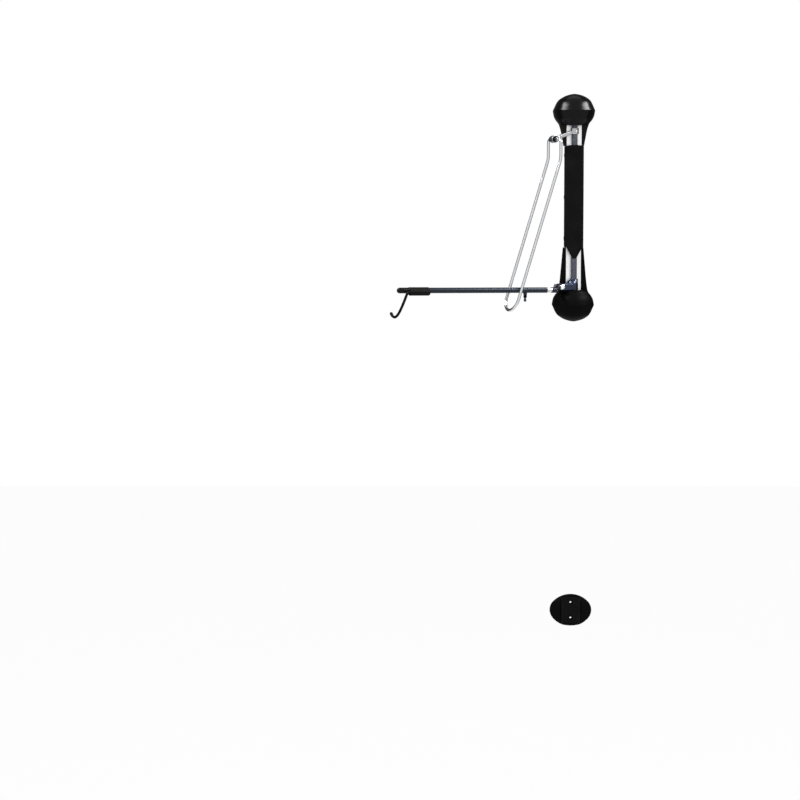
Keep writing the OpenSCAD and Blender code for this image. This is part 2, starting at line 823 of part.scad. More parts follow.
// A bend of wire: an arc from angle a0 through sweep, in the X-Y plane
module wire_arc(r, a0, sweep) {
    rotate([0, 0, a0]) rotate_extrude(angle = sweep, $fn = 96) translate([r, 0]) circle(wire_r + lap, $fn = 32);
}

// The part of the loop below its knees
module slant_frame() {
    translate([knee_r * (1 - cos(leg_lean)), 0, -knee_drop + knee_tangent - knee_r * sin(leg_lean)])
        rotate([0, -leg_lean, 0]) children();
}

module loop_leg(y) {
    translate([0, y, 0]) rod_z(-knee_drop + knee_tangent - lap, -top_bend_r + lap, wire_r);
    translate([knee_r, y, -knee_drop + knee_tangent]) rotate([90, 0, 0]) wire_arc(knee_r, 180, leg_lean);
    slant_frame() translate([0, y, 0]) rod_z(-low_straight - lap, lap, wire_r);
}

module guide_loop() {
    color(chrome_col) loop_frame() {
        loop_leg(near_leg);
        loop_leg(-far_leg);
        translate([0, near_leg - top_bend_r, -top_bend_r]) rotate([90, 0, 90]) wire_arc(top_bend_r, 0, 90);
        translate([0, -far_leg + top_bend_r, -top_bend_r]) rotate([90, 0, 90]) wire_arc(top_bend_r, 90, 90);
        rod_y(wire_end_gap, near_leg - top_bend_r + lap, wire_r);
        rod_y(-far_leg + top_bend_r - lap, -wire_end_gap, wire_r);
        slant_frame() {
            translate([0, near_leg - low_bend_r, -low_straight]) rotate([90, 0, 90])
                wire_arc(low_bend_r, 270, 90);
            translate([0, -far_leg + low_bend_r, -low_straight]) rotate([90, 0, 90])
                wire_arc(low_bend_r, 180, 90);
            translate([0, 0, -low_straight - low_bend_r])
                rod_y(-far_leg + low_bend_r - lap, near_leg - low_bend_r + lap, wire_r);
        }
    }
}

module loop_pivot_tube() {
    color(chrome_col) loop_frame() difference() {
        rod_y(-far_leg + top_bend_r, near_leg - top_bend_r, loop_tube_r);
        rod_y(-far_leg, near_leg, wire_r + close);
    }
}

module loop_collars() {
    color(black_plastic) loop_frame() for (side = [0, 1]) mirror([0, side, 0]) difference() {
        rod_y(eye_w / 2 + seat, eye_w / 2 + seat + loop_collar_w, loop_collar_r);
        rod_y(eye_w / 2, eye_w / 2 + loop_collar_w + over, loop_tube_r + close);
    }
}

// The arm's root: a tongue between the ears, a dog-leg out to the arm's line, and a socket
module arm_root() {
    heel_x = -tongue_r;
    neck_x = ear_r + 6;
    color(dark_steel) hinge_frame() difference() {
        union() {
            rod_y(-tongue_w / 2, tongue_w / 2, tongue_r);
            translate([heel_x, -tongue_w / 2, -heel_low]) cube([tongue_r, tongue_w, heel_low]);
            translate([0, -tongue_w / 2, -root_low]) cube([neck_x, tongue_w, root_low + root_top]);
            hull() {
                translate([neck_x - 4, -tongue_w / 2, -root_low]) cube([4, tongue_w, root_low + root_top]);
                translate([0, arm_b, -arm_drop]) rod_x(socket_from, root_len - 6, arm_r, $fn = 32);
            }
            translate([0, arm_b, -arm_drop]) rod_x(root_len - 7, root_len, arm_r);
        }
        rod_y(-tongue_w, tongue_w, hinge_bush_r + close);
        translate([0, arm_b, -arm_drop]) {
            rod_x(socket_from, root_len + over, inner_r + close);
            translate([root_pin_x, 0, 0]) rod_z(-2 * arm_r, 2 * arm_r, root_pin_r + 0.05);
        }
    }
}

module hinge_bush() {
    color(bronze) hinge_frame() difference() {
        rod_y(-tongue_w / 2, tongue_w / 2, hinge_bush_r);
        rod_y(-tongue_w, tongue_w, pin_r + running);
    }
}

module inner_tube() {
    color(chrome_col) arm_frame() difference() {
        rod_x(socket_from + 0.5, socket_from + inner_len, inner_r);
        rod_x(socket_from - over, socket_from + inner_len + over, inner_r - inner_wall);
        translate([root_pin_x, 0, 0]) rod_z(-2 * arm_r, 2 * arm_r, root_pin_r + 0.05);
    }
}

module root_pin() {
    color(zinc) arm_frame() translate([root_pin_x, 0, 0]) rod_z(-arm_r + 0.3, arm_r - 0.3, root_pin_r);
}

module arm_tube() {
    color(dark_steel) arm_frame() difference() {
        rod_x(arm_start, arm_end, arm_r);
        rod_x(arm_start - over, arm_end + over, arm_in_r);
        translate([clamp_x, 0, 0]) rod_z(-arm_r - over, 0, clamp_r + loose);
    }
}

module end_ring() {
    color(nylon) arm_frame() difference() {
        rod_x(arm_start - end_ring_len, arm_start, arm_r);
        rod_x(arm_start - end_ring_len - over, arm_start + over, arm_in_r);
    }
}

module clamp_boss() {
    color(dark_steel) arm_frame() difference() {
        translate([clamp_x, 0, -arm_r - boss_h]) cylinder(h = boss_h + 2, r = 6, $fn = 6);
        rod_x(clamp_x - 10, clamp_x + 10, arm_r + 0.02);
        translate([clamp_x, 0, 0]) rod_z(-arm_r - boss_h - over, 0, clamp_r + close);
    }
}

module clamp_screw() {
    ball_z = -arm_r - boss_h - seat - knob_h - neck_h - ball_r + 0.5;
    color(chrome_col) arm_frame() translate([clamp_x, 0, 0]) {
        rod_z(ball_z, -inner_r - 0.1, clamp_r);
        translate([0, 0, ball_z]) sphere(ball_r);
    }
}

module clamp_knob() {
    knob_top = -arm_r - boss_h - seat;
    color(black_plastic) arm_frame() translate([clamp_x, 0, 0]) difference() {
        rod_z(knob_top - knob_h, knob_top, knob_d / 2);
        rod_z(knob_top - knob_h - over, knob_top + over, clamp_r + close);
        for (i = [0 : 9]) rotate([0, 0, 36 * i]) translate([knob_d / 2 + 0.35, 0, 0])
            rod_z(knob_top - knob_h + 1, knob_top - 1, 0.8);
    }
}

module hook_shank(r, extra) {
    translate([0, shank_b, pad_z]) rod_x(arm_end - shank_len - extra, arm_end + extra, r);
}

module end_sleeve() {
    color(rubber_black) arm_frame() difference() {
        union() {
            rod_x(arm_end - sleeve_len, arm_end, sleeve_r);
            translate([0, pad_b, pad_z]) rod_x(arm_end - sleeve_len, arm_end, pad_r);
        }
        rod_x(arm_end - sleeve_len - over, arm_end + over, arm_r + close);
        hook_shank(hook_r + close, over);
    }
}

module grip_tip() {
    tip_r = tip_d / 2;
    color(black_plastic) arm_frame() {
        rod_x(arm_end, arm_end + tip_len - tip_r, tip_r);
        translate([arm_end + tip_len - tip_r, 0, 0]) sphere(tip_r);
        rod_x(arm_end - 16, arm_end + eps, arm_in_r - close);
    }
}

// The hook's bend, from the end of its shank: down beside the tyre, then in under it
hook_pts = [[2, 0, 0], [7, 0, -2], [11, -0.5, -9], [16.5, -3.5, -26], [21.5, -10, -44],
    [24.5, -22, -60], [25.5, -38, -68], [25, -54, -66], [24, -62, -62]];
hook_sides = 16;
hook_sub = 5;

// A point on a smooth curve through the points p, at t from 0 to the last index
function curve_at(p, t) = let (n = len(p) - 1, i = min(floor(t), n - 1), u = t - i,
    a = p[max(i - 1, 0)], b = p[i], c = p[i + 1], d = p[min(i + 2, n)])
    0.5 * (2 * b + (c - a) * u + (2 * a - 5 * b + 4 * c - d) * u * u + (3 * b - a - 3 * c + d) * u * u * u);
function unit(v) = v / norm(v);
function hook_line(p) = [for (k = [0 : (len(p) - 1) * hook_sub]) curve_at(p, k / hook_sub)];
function hook_dir(line, k) = k == 0 ? [1, 0, 0]
    : unit(line[min(k + 1, len(line) - 1)] - line[k - 1]);

// A frame that turns as little as it can is carried from ring to ring
function carry(line, k) = k == 0 ? [0, 0, 1]
    : let (d = hook_dir(line, k), u = carry(line, k - 1)) unit(u - d * (u * d));

module hook_sweep(line, r) {
    n = len(line);
    m = hook_sides;
    rings = [for (k = [0 : n - 1]) let (d = hook_dir(line, k), u = carry(line, k), v = cross(d, u))
        for (j = [0 : m - 1]) line[k] + r * (u * cos(360 * j / m) + v * sin(360 * j / m))];
    walls = [for (k = [0 : n - 2], j = [0 : m - 1]) let (a = k * m + j, b = k * m + (j + 1) % m)
        each [[a, b + m, b], [a, a + m, b + m]]];
    first = [for (j = [1 : m - 2]) [0, j, j + 1]];
    last = [for (j = [1 : m - 2]) [(n - 1) * m, (n - 1) * m + j + 1, (n - 1) * m + j]];
    polyhedron(rings, concat(walls, first, last));
}

module hook_rod() {
    line = concat([[-shank_len, 0, 0]], hook_line(hook_pts));
    color(black_plastic) arm_frame() translate([arm_end, shank_b, pad_z]) hook_sweep(line, hook_r);
}

module hook_tip() {
    line = hook_line(hook_pts);
    last = len(line) - 1;
    back = hook_dir(line, last);
    color(rubber_black) arm_frame() translate([arm_end, shank_b, pad_z])
        translate(line[last] + back * (hook_r + 1.2)) sphere(hook_r + 1);
}

top_wall_plate();
bottom_wall_plate();
upright();
top_bearing_bracket();
bottom_bearing_bracket();
bracket_bolts();
rivet_nuts();
top_bush();
bottom_bush();
front_cover();
cover_rivets();
top_cap();
bottom_cap();
cap_screws();
tyre_rest();
rest_liner();
pivot_tube();
tube_plugs();
retaining_rings();
top_collar();
hanger_link();
link_bush();
arm_clevis();
collar_pins();
hinge_pin();
hinge_nut();
hinge_washers();
guide_loop();
loop_pivot_tube();
loop_collars();
arm_root();
hinge_bush();
inner_tube();
root_pin();
arm_tube();
end_ring();
clamp_boss();
end_sleeve();
grip_tip();
hook_rod();
hook_tip();
clamp_screw();
clamp_knob();
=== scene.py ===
"""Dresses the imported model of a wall-mounted bike rack for a studio picture.

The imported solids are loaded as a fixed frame. Each sub-assembly is a class that knows its sizes,
models its own detailed pieces over that frame, and gives them and the solids their finishes.
Lengths inside the classes are millimetres; the scene's own units are metres.
"""

import json
import logging
import math
from contextlib import contextmanager
from dataclasses import dataclass
from enum import Enum
from typing import Callable, Iterator, Protocol, Sequence

import bmesh
import bpy
from mathutils import Matrix, Vector

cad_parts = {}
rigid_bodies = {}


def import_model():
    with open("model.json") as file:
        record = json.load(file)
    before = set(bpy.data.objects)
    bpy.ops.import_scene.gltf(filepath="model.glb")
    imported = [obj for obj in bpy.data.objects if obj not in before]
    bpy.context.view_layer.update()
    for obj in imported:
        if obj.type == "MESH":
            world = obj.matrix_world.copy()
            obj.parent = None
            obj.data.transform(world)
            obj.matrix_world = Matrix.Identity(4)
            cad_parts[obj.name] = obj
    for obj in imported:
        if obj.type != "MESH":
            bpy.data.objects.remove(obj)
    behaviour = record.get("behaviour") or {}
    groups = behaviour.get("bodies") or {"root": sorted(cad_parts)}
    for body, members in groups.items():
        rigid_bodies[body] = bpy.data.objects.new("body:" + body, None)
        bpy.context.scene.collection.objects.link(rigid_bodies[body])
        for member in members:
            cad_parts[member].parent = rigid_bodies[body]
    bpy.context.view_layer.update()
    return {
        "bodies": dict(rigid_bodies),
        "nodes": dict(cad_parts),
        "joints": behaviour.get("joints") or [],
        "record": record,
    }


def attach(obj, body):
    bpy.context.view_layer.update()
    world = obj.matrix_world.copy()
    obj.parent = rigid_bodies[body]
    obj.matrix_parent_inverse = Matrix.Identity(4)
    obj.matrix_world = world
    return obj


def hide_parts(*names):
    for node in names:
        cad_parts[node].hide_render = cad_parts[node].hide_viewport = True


LOG = logging.getLogger("bike_rack")
Point2 = tuple[float, float]
Point3 = tuple[float, float, float]

# One millimetre in the scene's metres, and the difference under which two places count as one
MM = 0.001
SAME = 1e-6
# The arm's turn from straight out of the wall, and the swing axis's distance from the wall
SWING_REST = math.radians(64.0)
AXIS_OFF = 60.0
# The arm's hinge in the swing frame, the arm's rise there, and how far its tube lies aside and below
HINGE_A = 44.0
HINGE_Z = -216.5
ARM_RISE = math.radians(0.8)
ARM_B = 27.0
ARM_DROP = 7.5
# The guide loop's axis in the swing frame
LOOP_A = 66.0
LOOP_Z = 188.0
# The gap round a shaft in its bore and at a seated face, the radius of a cross pin's hole, and a
# cutter's reach past a tube
CLEAR = 0.03
SEATED = 0.02
PIN_HOLE = 2.05
PAST = 20.0
# The angle, in degrees, up to which faces are shaded as one
SMOOTH = 32.0


class Finish(Enum):
    """The finishes that the rack's pieces have."""

    ZINC = "zinc"
    CHROME = "chrome"
    DARK_METAL = "blued_metal"
    SLATE = "slate_coat"
    SCUFFED = "scuffed_black"
    SATIN = "satin_chrome"
    STEEL = "dark_steel"
    GLOSS = "gloss_black"
    MATT = "matt_black"
    RUBBER = "rubber"
    COATED = "coated_black"
    NYLON = "nylon"
    BRONZE = "bronze"

    def slot(self) -> str:
        """Finds the record's slot for this finish.

        Returns:
            The slot's name. A variant shares the slot of the finish that it varies.
        """
        shared = {
            Finish.DARK_METAL: Finish.STEEL,
            Finish.SLATE: Finish.STEEL,
            Finish.SCUFFED: Finish.GLOSS,
            Finish.SATIN: Finish.CHROME,
        }
        return shared.get(self, self).value


class Role(Enum):
    """What a lamp does: light surfaces softly, or show in their gloss as a glint."""

    SOFT = "soft"
    GLINT = "glint"


class Place(Enum):
    """The local frames that pieces are modelled in."""

    WALL = "wall"
    SWING = "swing"
    HINGE = "hinge"
    ARM = "arm"
    LOOP = "loop"

    def matrix(self) -> Matrix:
        """Places this frame.

        Returns:
            The matrix from this frame to the whole rack's, in metres.
        """
        turn = Matrix.Rotation(-math.pi / 2 - SWING_REST, 4, "Z")
        swing = Matrix.Translation((0.0, -AXIS_OFF * MM, 0.0)) @ turn
        rise = Matrix.Rotation(-ARM_RISE, 4, "Y")
        hinge = swing @ Matrix.Translation((HINGE_A * MM, 0.0, HINGE_Z * MM)) @ rise
        frames = {
            Place.WALL: Matrix.Identity(4),
            Place.SWING: swing,
            Place.HINGE: hinge,
            Place.ARM: hinge @ Matrix.Translation((0.0, ARM_B * MM, -ARM_DROP * MM)),
            Place.LOOP: swing @ Matrix.Translation((LOOP_A * MM, 0.0, LOOP_Z * MM)),
        }
        return frames[self]


class Value:
    """A number on an output socket; Python arithmetic on it adds Math nodes."""

    def __init__(self, nodes: "Nodes", socket: bpy.types.NodeSocket) -> None:
        """Wraps a socket.

        Args:
            nodes: the nodes that the socket belongs to.
            socket: an output socket that carries a number.
        """
        self.nodes = nodes
        self.socket = socket

    def _math(self, operation: str, first: "Value | float", second: "Value | float") -> "Value":
        """Adds one Math node and returns its result."""
        node = self.nodes.add("ShaderNodeMath", {"operation": operation}, {0: first, 1: second})
        return Value(self.nodes, node.outputs[0])

    def __add__(self, other: "Value | float") -> "Value":
        """Returns self + other."""
        return self._math("ADD", self, other)

    def __radd__(self, other: float) -> "Value":
        """Returns other + self."""
        return self._math("ADD", other, self)

    def __sub__(self, other: "Value | float") -> "Value":
        """Returns self - other."""
        return self._math("SUBTRACT", self, other)

    def __rsub__(self, other: float) -> "Value":
        """Returns other - self."""
        return self._math("SUBTRACT", other, self)

    def __mul__(self, other: "Value | float") -> "Value":
        """Returns self * other."""
        return self._math("MULTIPLY", self, other)

    def __rmul__(self, other: float) -> "Value":
        """Returns other * self."""
        return self._math("MULTIPLY", other, self)

    def larger(self, other: "Value | float") -> "Value":
        """Returns the larger of the two."""
        return self._math("MAXIMUM", self, other)

    def ramp(self, low: float, high: float, to_low: float = 0.0, to_high: float = 1.0) -> "Value":
        """Maps the span from low to high smoothly onto another span.

        Args:
            low: the value that maps to to_low.
            high: the value that maps to to_high.
            to_low: the result at low.
            to_high: the result at high.

        Returns:
            The mapped value.
        """
        node = self.nodes.add(
            "ShaderNodeMapRange",
            {"interpolation_type": "SMOOTHSTEP"},
            {"Value": self, "From Min": low, "From Max": high, "To Min": to_low, "To Max": to_high},
        )
        return Value(self.nodes, node.outputs["Result"])


class Nodes:
    """A node tree under construction."""

    def __init__(self, tree: bpy.types.NodeTree) -> None:
        """Empties the tree.

        Args:
            tree: a material's or a world's node tree.
        """
        self.tree = tree
        tree.nodes.clear()

    def connect(self, value: object, socket: bpy.types.NodeSocket) -> None:
        """Links a value or an output to an input socket, or sets the socket to a constant.

        Args:
            value: a Value, an output socket, or a number, colour or vector.
            socket: the input socket.
        """
        if isinstance(value, Value):
            self.tree.links.new(value.socket, socket)
        elif isinstance(value, bpy.types.NodeSocket):
            self.tree.links.new(value, socket)
        else:
            socket.default_value = value

    def add(
        self, kind: str, settings: dict[str, object], sockets: dict[str | int, object]
    ) -> bpy.types.Node:
        """Adds a node.

        Args:
            kind: the node's type.
            settings: attributes that are set before its sockets.
            sockets: values or links, by socket name or number.

        Returns:
            The node.
        """
        node = self.tree.nodes.new(kind)
        for name, value in settings.items():
            setattr(node, name, value)
        for name, value in sockets.items():
            self.connect(value, node.inputs[name])
        return node

    def seen_directly(self, *rays: str) -> Value:
        """Tells whether a ray is of one of some kinds.

        Args:
            *rays: outputs of the Light Path node.

        Returns:
            1 where it is, and 0 elsewhere.
        """
        path = self.add("ShaderNodeLightPath", {}, {})
        seen = Value(self, path.outputs[rays[0]])
        for ray in rays[1:]:
            seen = seen.larger(Value(self, path.outputs[ray]))
        return seen


class Shader(Nodes):
    """A node material under construction."""

    def __init__(self, name: str) -> None:
        """Starts an empty node material with one Principled shader.

        Args:
            name: the material's name.
        """
        self.material = bpy.data.materials.new(name)
        self.material.use_nodes = True
        super().__init__(self.material.node_tree)
        self.surface = self.add("ShaderNodeBsdfPrincipled", {}, {})
        self.output = self.add("ShaderNodeOutputMaterial", {}, {"Surface": self.surface.outputs[0]})
        self.place = self.add("ShaderNodeTexCoord", {}, {}).outputs["Object"]

    def stretched(self, scale: Point3) -> bpy.types.NodeSocket:
        """Returns the object's coordinates, scaled axis by axis."""
        return self.add("ShaderNodeMapping", {}, {"Vector": self.place, "Scale": scale}).outputs[0]

    def noise(self, size: float, detail: float = 2.0, scale: Point3 = (1, 1, 1)) -> Value:
        """Returns soft noise.

        Args:
            size: the size of a patch, in millimetres.
            detail: how many finer layers lie on it.
            scale: a stretch of the coordinates.

        Returns:
            A value around 0.5.
        """
        vector = self.place if tuple(scale) == (1, 1, 1) else self.stretched(scale)
        sockets = {"Vector": vector, "Scale": 1.0 / (size * MM), "Detail": detail}
        return Value(self, self.add("ShaderNodeTexNoise", {}, sockets).outputs[0])

    def cells(self, size: float, feature: str = "F1") -> Value:
        """Returns the distance field of random cells.

        Args:
            size: the size of a cell, in millimetres.
            feature: which of the Voronoi node's distances it is.

        Returns:
            A value that is 0 at a cell's middle.
        """
        sockets = {"Vector": self.place, "Scale": 1.0 / (size * MM)}
        node = self.add("ShaderNodeTexVoronoi", {"feature": feature}, sockets)
        return Value(self, node.outputs["Distance"])

    def mix(
        self, mask: "Value | float", low: Sequence[float], high: Sequence[float]
    ) -> bpy.types.NodeSocket:
        """Mixes two colours by a mask.

        Args:
            mask: 0 gives low and 1 gives high.
            low: a linear colour.
            high: a linear colour.

        Returns:
            The mixed colour's socket.
        """
        return self.blend(mask, (*low, 1.0), high)

    def blend(self, mask: "Value | float", low: object, high: Sequence[float]) -> bpy.types.NodeSocket:
        """Mixes a colour into another one by a mask.

        Args:
            mask: 0 gives low and 1 gives high.
            low: a colour's socket, or a linear colour with its alpha.
            high: a linear colour.

        Returns:
            The mixed colour's socket.
        """
        sockets = {0: mask, 6: low, 7: (*high, 1.0)}
        return self.add("ShaderNodeMix", {"data_type": "RGBA"}, sockets).outputs[2]

    def relief(
        self, height: Value, depth: float, normal: bpy.types.NodeSocket | None = None
    ) -> bpy.types.NodeSocket:
        """Turns a height into a bumped normal.

        Args:
            height: the height, from 0 to 1.
            depth: how far 1 stands out, in millimetres.
            normal: another bump that this one is laid on.

        Returns:
            The normal's socket.
        """
        sockets: dict[str | int, object] = {"Height": height, "Distance": depth * MM, "Strength": 1.0}
        if normal is not None:
            sockets["Normal"] = normal
        return self.add("ShaderNodeBump", {}, sockets).outputs[0]

    def finish(self, **sockets: object) -> bpy.types.Material:
        """Sets the Principled shader's sockets and returns the material.

        Args:
            **sockets: values or links; an underscore stands for a space in the socket's name.

        Returns:
            The finished material.
        """
        for name, value in sockets.items():
            self.connect(value, self.surface.inputs[name.replace("_", " ")])
        return self.material


class Recipe(Protocol):
    """What every finish below can do."""

    def build(self, name: str) -> bpy.types.Material:
        """Builds the material under a name."""


@dataclass(frozen=True)
class ZincPlate:
    """Satin zinc plate on sheet steel, with drawn streaks and a spangle of paler grains."""

    tone: Point3 = (0.97, 0.97, 0.97)
    shade: Point3 = (0.87, 0.875, 0.885)
    roughness: float = 0.3

    def build(self, name: str) -> bpy.types.Material:
        """Builds the material.

        Args:
            name: the material's name.

        Returns:
            The material.
        """
        shader = Shader(name)
        streaks = shader.noise(1.1, 3.0, (1.0, 1.0, 0.06))
        grains = shader.cells(2.2)
        clouds = shader.noise(28.0, 3.0)
        marks = (streaks * 0.5 + clouds * 0.7 + grains * 0.25).ramp(0.35, 1.0)
        return shader.finish(
            Base_Color=shader.mix(marks, self.shade, self.tone),
            Metallic=1.0,
            Roughness=(clouds * 0.16 + streaks * 0.14 + (self.roughness - 0.15)),
            Normal=shader.relief(streaks, 0.012),
        )


@dataclass(frozen=True)
class BrightChrome:
    """Bright chrome with faint polishing lines, smudges and a few dull specks."""

    tone: Point3 = (0.66, 0.67, 0.69)
    smudge: Point3 = (0.48, 0.49, 0.51)
    speck: Point3 = (0.30, 0.30, 0.31)
    roughness: float = 0.09

    def build(self, name: str) -> bpy.types.Material:
        """Builds the material.

        Args:
            name: the material's name.

        Returns:
            The material.
        """
        shader = Shader(name)
        clouds = shader.noise(22.0, 4.0)
        lines = shader.noise(0.7, 2.0, (1.0, 1.0, 0.12))
        specks = shader.cells(3.4).ramp(0.05, 0.16, 1.0, 0.0)
        veil = clouds.ramp(0.46, 0.72)
        veiled = shader.mix(veil * 0.55, self.tone, self.smudge)
        return shader.finish(
            Base_Color=shader.blend(specks * 0.35, veiled, self.speck),
            Metallic=1.0,
            Roughness=veil * 0.13 + specks * 0.18 + lines * 0.05 + self.roughness,
            Normal=shader.relief(lines, 0.002),
        )


@dataclass(frozen=True)
class PowderCoat:
    """Smooth powder coat with orange peel, paler rubs and dust."""

    tone: Point3 = (0.075, 0.082, 0.105)
    rub: Point3 = (0.145, 0.152, 0.185)
    dust: Point3 = (0.2, 0.2, 0.2)
    roughness: float = 0.33
    shine: float = 0.3
    coat: float = 0.1

    def build(self, name: str) -> bpy.types.Material:
        """Builds the material.

        Args:
            name: the material's name.

        Returns:
            The material.
        """
        shader = Shader(name)
        peel = shader.noise(1.6, 2.0)
        rubs = shader.noise(14.0, 5.0, (1.0, 1.0, 1.6)).ramp(0.52, 0.74)
        dust = shader.noise(0.5, 1.0).ramp(0.62, 0.8)
        tinted = shader.mix(rubs * 0.6, self.tone, self.rub)
        return shader.finish(
            Base_Color=shader.blend(dust * 0.1, tinted, self.dust),
            Metallic=0.25,
            Roughness=rubs * 0.14 + dust * 0.12 + peel * 0.08 + (self.roughness - 0.04),
            Normal=shader.relief(peel, 0.03),
            Specular_IOR_Level=self.shine,
            Coat_Weight=self.coat,
            Coat_Roughness=0.18,
        )


@dataclass(frozen=True)
class GlossPlastic:
    """Moulded glossy black plastic with slow ripples, dust and hairline scratches."""

    tone: Point3 = (0.0022, 0.0022, 0.0026)
    bloom: Point3 = (0.006, 0.006, 0.0068)
    roughness: float = 0.23
    shine: float = 0.12

    def build(self, name: str) -> bpy.types.Material:
        """Builds the material.

        Args:
            name: the material's name.

        Returns:
            The material.
        """
        shader = Shader(name)
        ripple = shader.noise(26.0, 2.0)
        dust = shader.noise(0.6, 1.0).ramp(0.6, 0.8)
        hairs = shader.noise(3.0, 6.0, (0.2, 1.4, 1.0)).ramp(0.6, 0.66)
        return shader.finish(
            Base_Color=shader.mix(dust * 0.5 + ripple * 0.25, self.tone, self.bloom),
            Roughness=ripple * 0.08 + dust * 0.12 + hairs * 0.05 + (self.roughness - 0.04),
            Normal=shader.relief(hairs, 0.004, shader.relief(ripple, 0.2)),
            Specular_IOR_Level=self.shine,
        )


@dataclass(frozen=True)
class MattPlastic:
    """Black plastic with a fine moulded grain and slightly polished patches."""

    tone: Point3 = (0.0028, 0.0028, 0.003)
    worn: Point3 = (0.0065, 0.0065, 0.007)
    roughness: float = 0.52
    grain: float = 0.9

    def build(self, name: str) -> bpy.types.Material:
        """Builds the material.

        Args:
            name: the material's name.

        Returns:
            The material.
        """
        shader = Shader(name)
        grain = shader.cells(self.grain, "SMOOTH_F1")
        patches = shader.noise(30.0, 4.0)
        dust = shader.noise(0.5, 1.0).ramp(0.6, 0.8)
        return shader.finish(
            Base_Color=shader.mix(patches.ramp(0.4, 0.8) * 0.6 + dust * 0.3, self.tone, self.worn),
            Roughness=patches * 0.12 + grain * 0.1 + (self.roughness - 0.1),
            Normal=shader.relief(grain, 0.05),
            Specular_IOR_Level=0.06,
        )


@dataclass(frozen=True)
class DullRubber:
    """Dull black rubber with a chalky bloom and fine pores."""

    tone: Point3 = (0.0032, 0.0032, 0.0032)
    bloom: Point3 = (0.010, 0.0098, 0.0096)
    roughness: float = 0.72

    def build(self, name: str) -> bpy.types.Material:
        """Builds the material.

        Args:
            name: the material's name.

        Returns:
            The material.
        """
        shader = Shader(name)
        pores = shader.cells(0.7)
        bloom = shader.noise(11.0, 5.0).ramp(0.42, 0.75)
        return shader.finish(
            Base_Color=shader.mix(bloom * 0.7, self.tone, self.bloom),
            Roughness=bloom * 0.16 + (self.roughness - 0.06),
            Normal=shader.relief(pores, 0.035),
            Specular_IOR_Level=0.1,
        )


@dataclass(frozen=True)
class NaturalNylon:
    """Off-white nylon, slightly waxy, with grease smears."""

    tone: Point3 = (0.66, 0.63, 0.54)
    grease: Point3 = (0.33, 0.30, 0.24)

    def build(self, name: str) -> bpy.types.Material:
        """Builds the material.

        Args:
            name: the material's name.

        Returns:
            The material.
        """
        shader = Shader(name)
        smear = shader.noise(6.0, 4.0).ramp(0.5, 0.78)
        turning = shader.noise(0.6, 1.0, (0.1, 0.1, 1.0))
        return shader.finish(
            Base_Color=shader.mix(smear * 0.8, self.tone, self.grease),
            Roughness=smear * -0.15 + turning * 0.08 + 0.42,
            Normal=shader.relief(turning, 0.01),
        )


@dataclass(frozen=True)
class SinteredBronze:
    """Sintered bronze with open pores and an oily darkening."""

    tone: Point3 = (0.42, 0.27, 0.12)
    oil: Point3 = (0.16, 0.10, 0.05)

    def build(self, name: str) -> bpy.types.Material:
        """Builds the material.

        Args:
            name: the material's name.

        Returns:
            The material.
        """
        shader = Shader(name)
        pores = shader.cells(0.5).ramp(0.1, 0.35)
        oil = shader.noise(5.0, 4.0).ramp(0.4, 0.7)
        return shader.finish(
            Base_Color=shader.mix(oil * 0.7, self.tone, self.oil),
            Metallic=0.9,
            Roughness=oil * -0.12 + pores * -0.1 + 0.48,
            Normal=shader.relief(pores, 0.02),
        )


RECIPES: dict[Finish, Recipe] = {
    Finish.ZINC: ZincPlate(),
    Finish.CHROME: BrightChrome(),
    Finish.STEEL: PowderCoat(),
    Finish.SLATE: PowderCoat(
        tone=(0.020, 0.026, 0.038), rub=(0.034, 0.042, 0.058), roughness=0.34, shine=0.12, coat=0.02
    ),
    Finish.DARK_METAL: BrightChrome(
        tone=(0.045, 0.055, 0.085), smudge=(0.02, 0.026, 0.042), roughness=0.24
    ),
    Finish.GLOSS: GlossPlastic(),
    Finish.SCUFFED: GlossPlastic(roughness=0.5, shine=0.03),
    Finish.SATIN: BrightChrome(
        tone=(0.44, 0.45, 0.46), smudge=(0.20, 0.21, 0.22), roughness=0.2
    ),
    Finish.MATT: MattPlastic(),
    Finish.RUBBER: DullRubber(),
    Finish.COATED: MattPlastic(
        tone=(0.004, 0.004, 0.0042), worn=(0.012, 0.012, 0.0125), roughness=0.42, grain=1.6
    ),
    Finish.NYLON: NaturalNylon(),
    Finish.BRONZE: SinteredBronze(),
}


class Palette:
    """The rack's materials, one for each finish."""

    def __init__(self) -> None:
        """Builds all materials."""
        self.materials = {finish: recipe.build(finish.value) for finish, recipe in RECIPES.items()}

    def dress(self, piece: bpy.types.Object, finish: Finish) -> None:
        """Puts a finish on an object's every slot.

        Args:
            piece: a mesh object.
            finish: the finish it gets.
        """
        material = self.materials[finish]
        if not piece.material_slots:
            piece.data.materials.append(material)
        for slot in piece.material_slots:
            slot.material = material


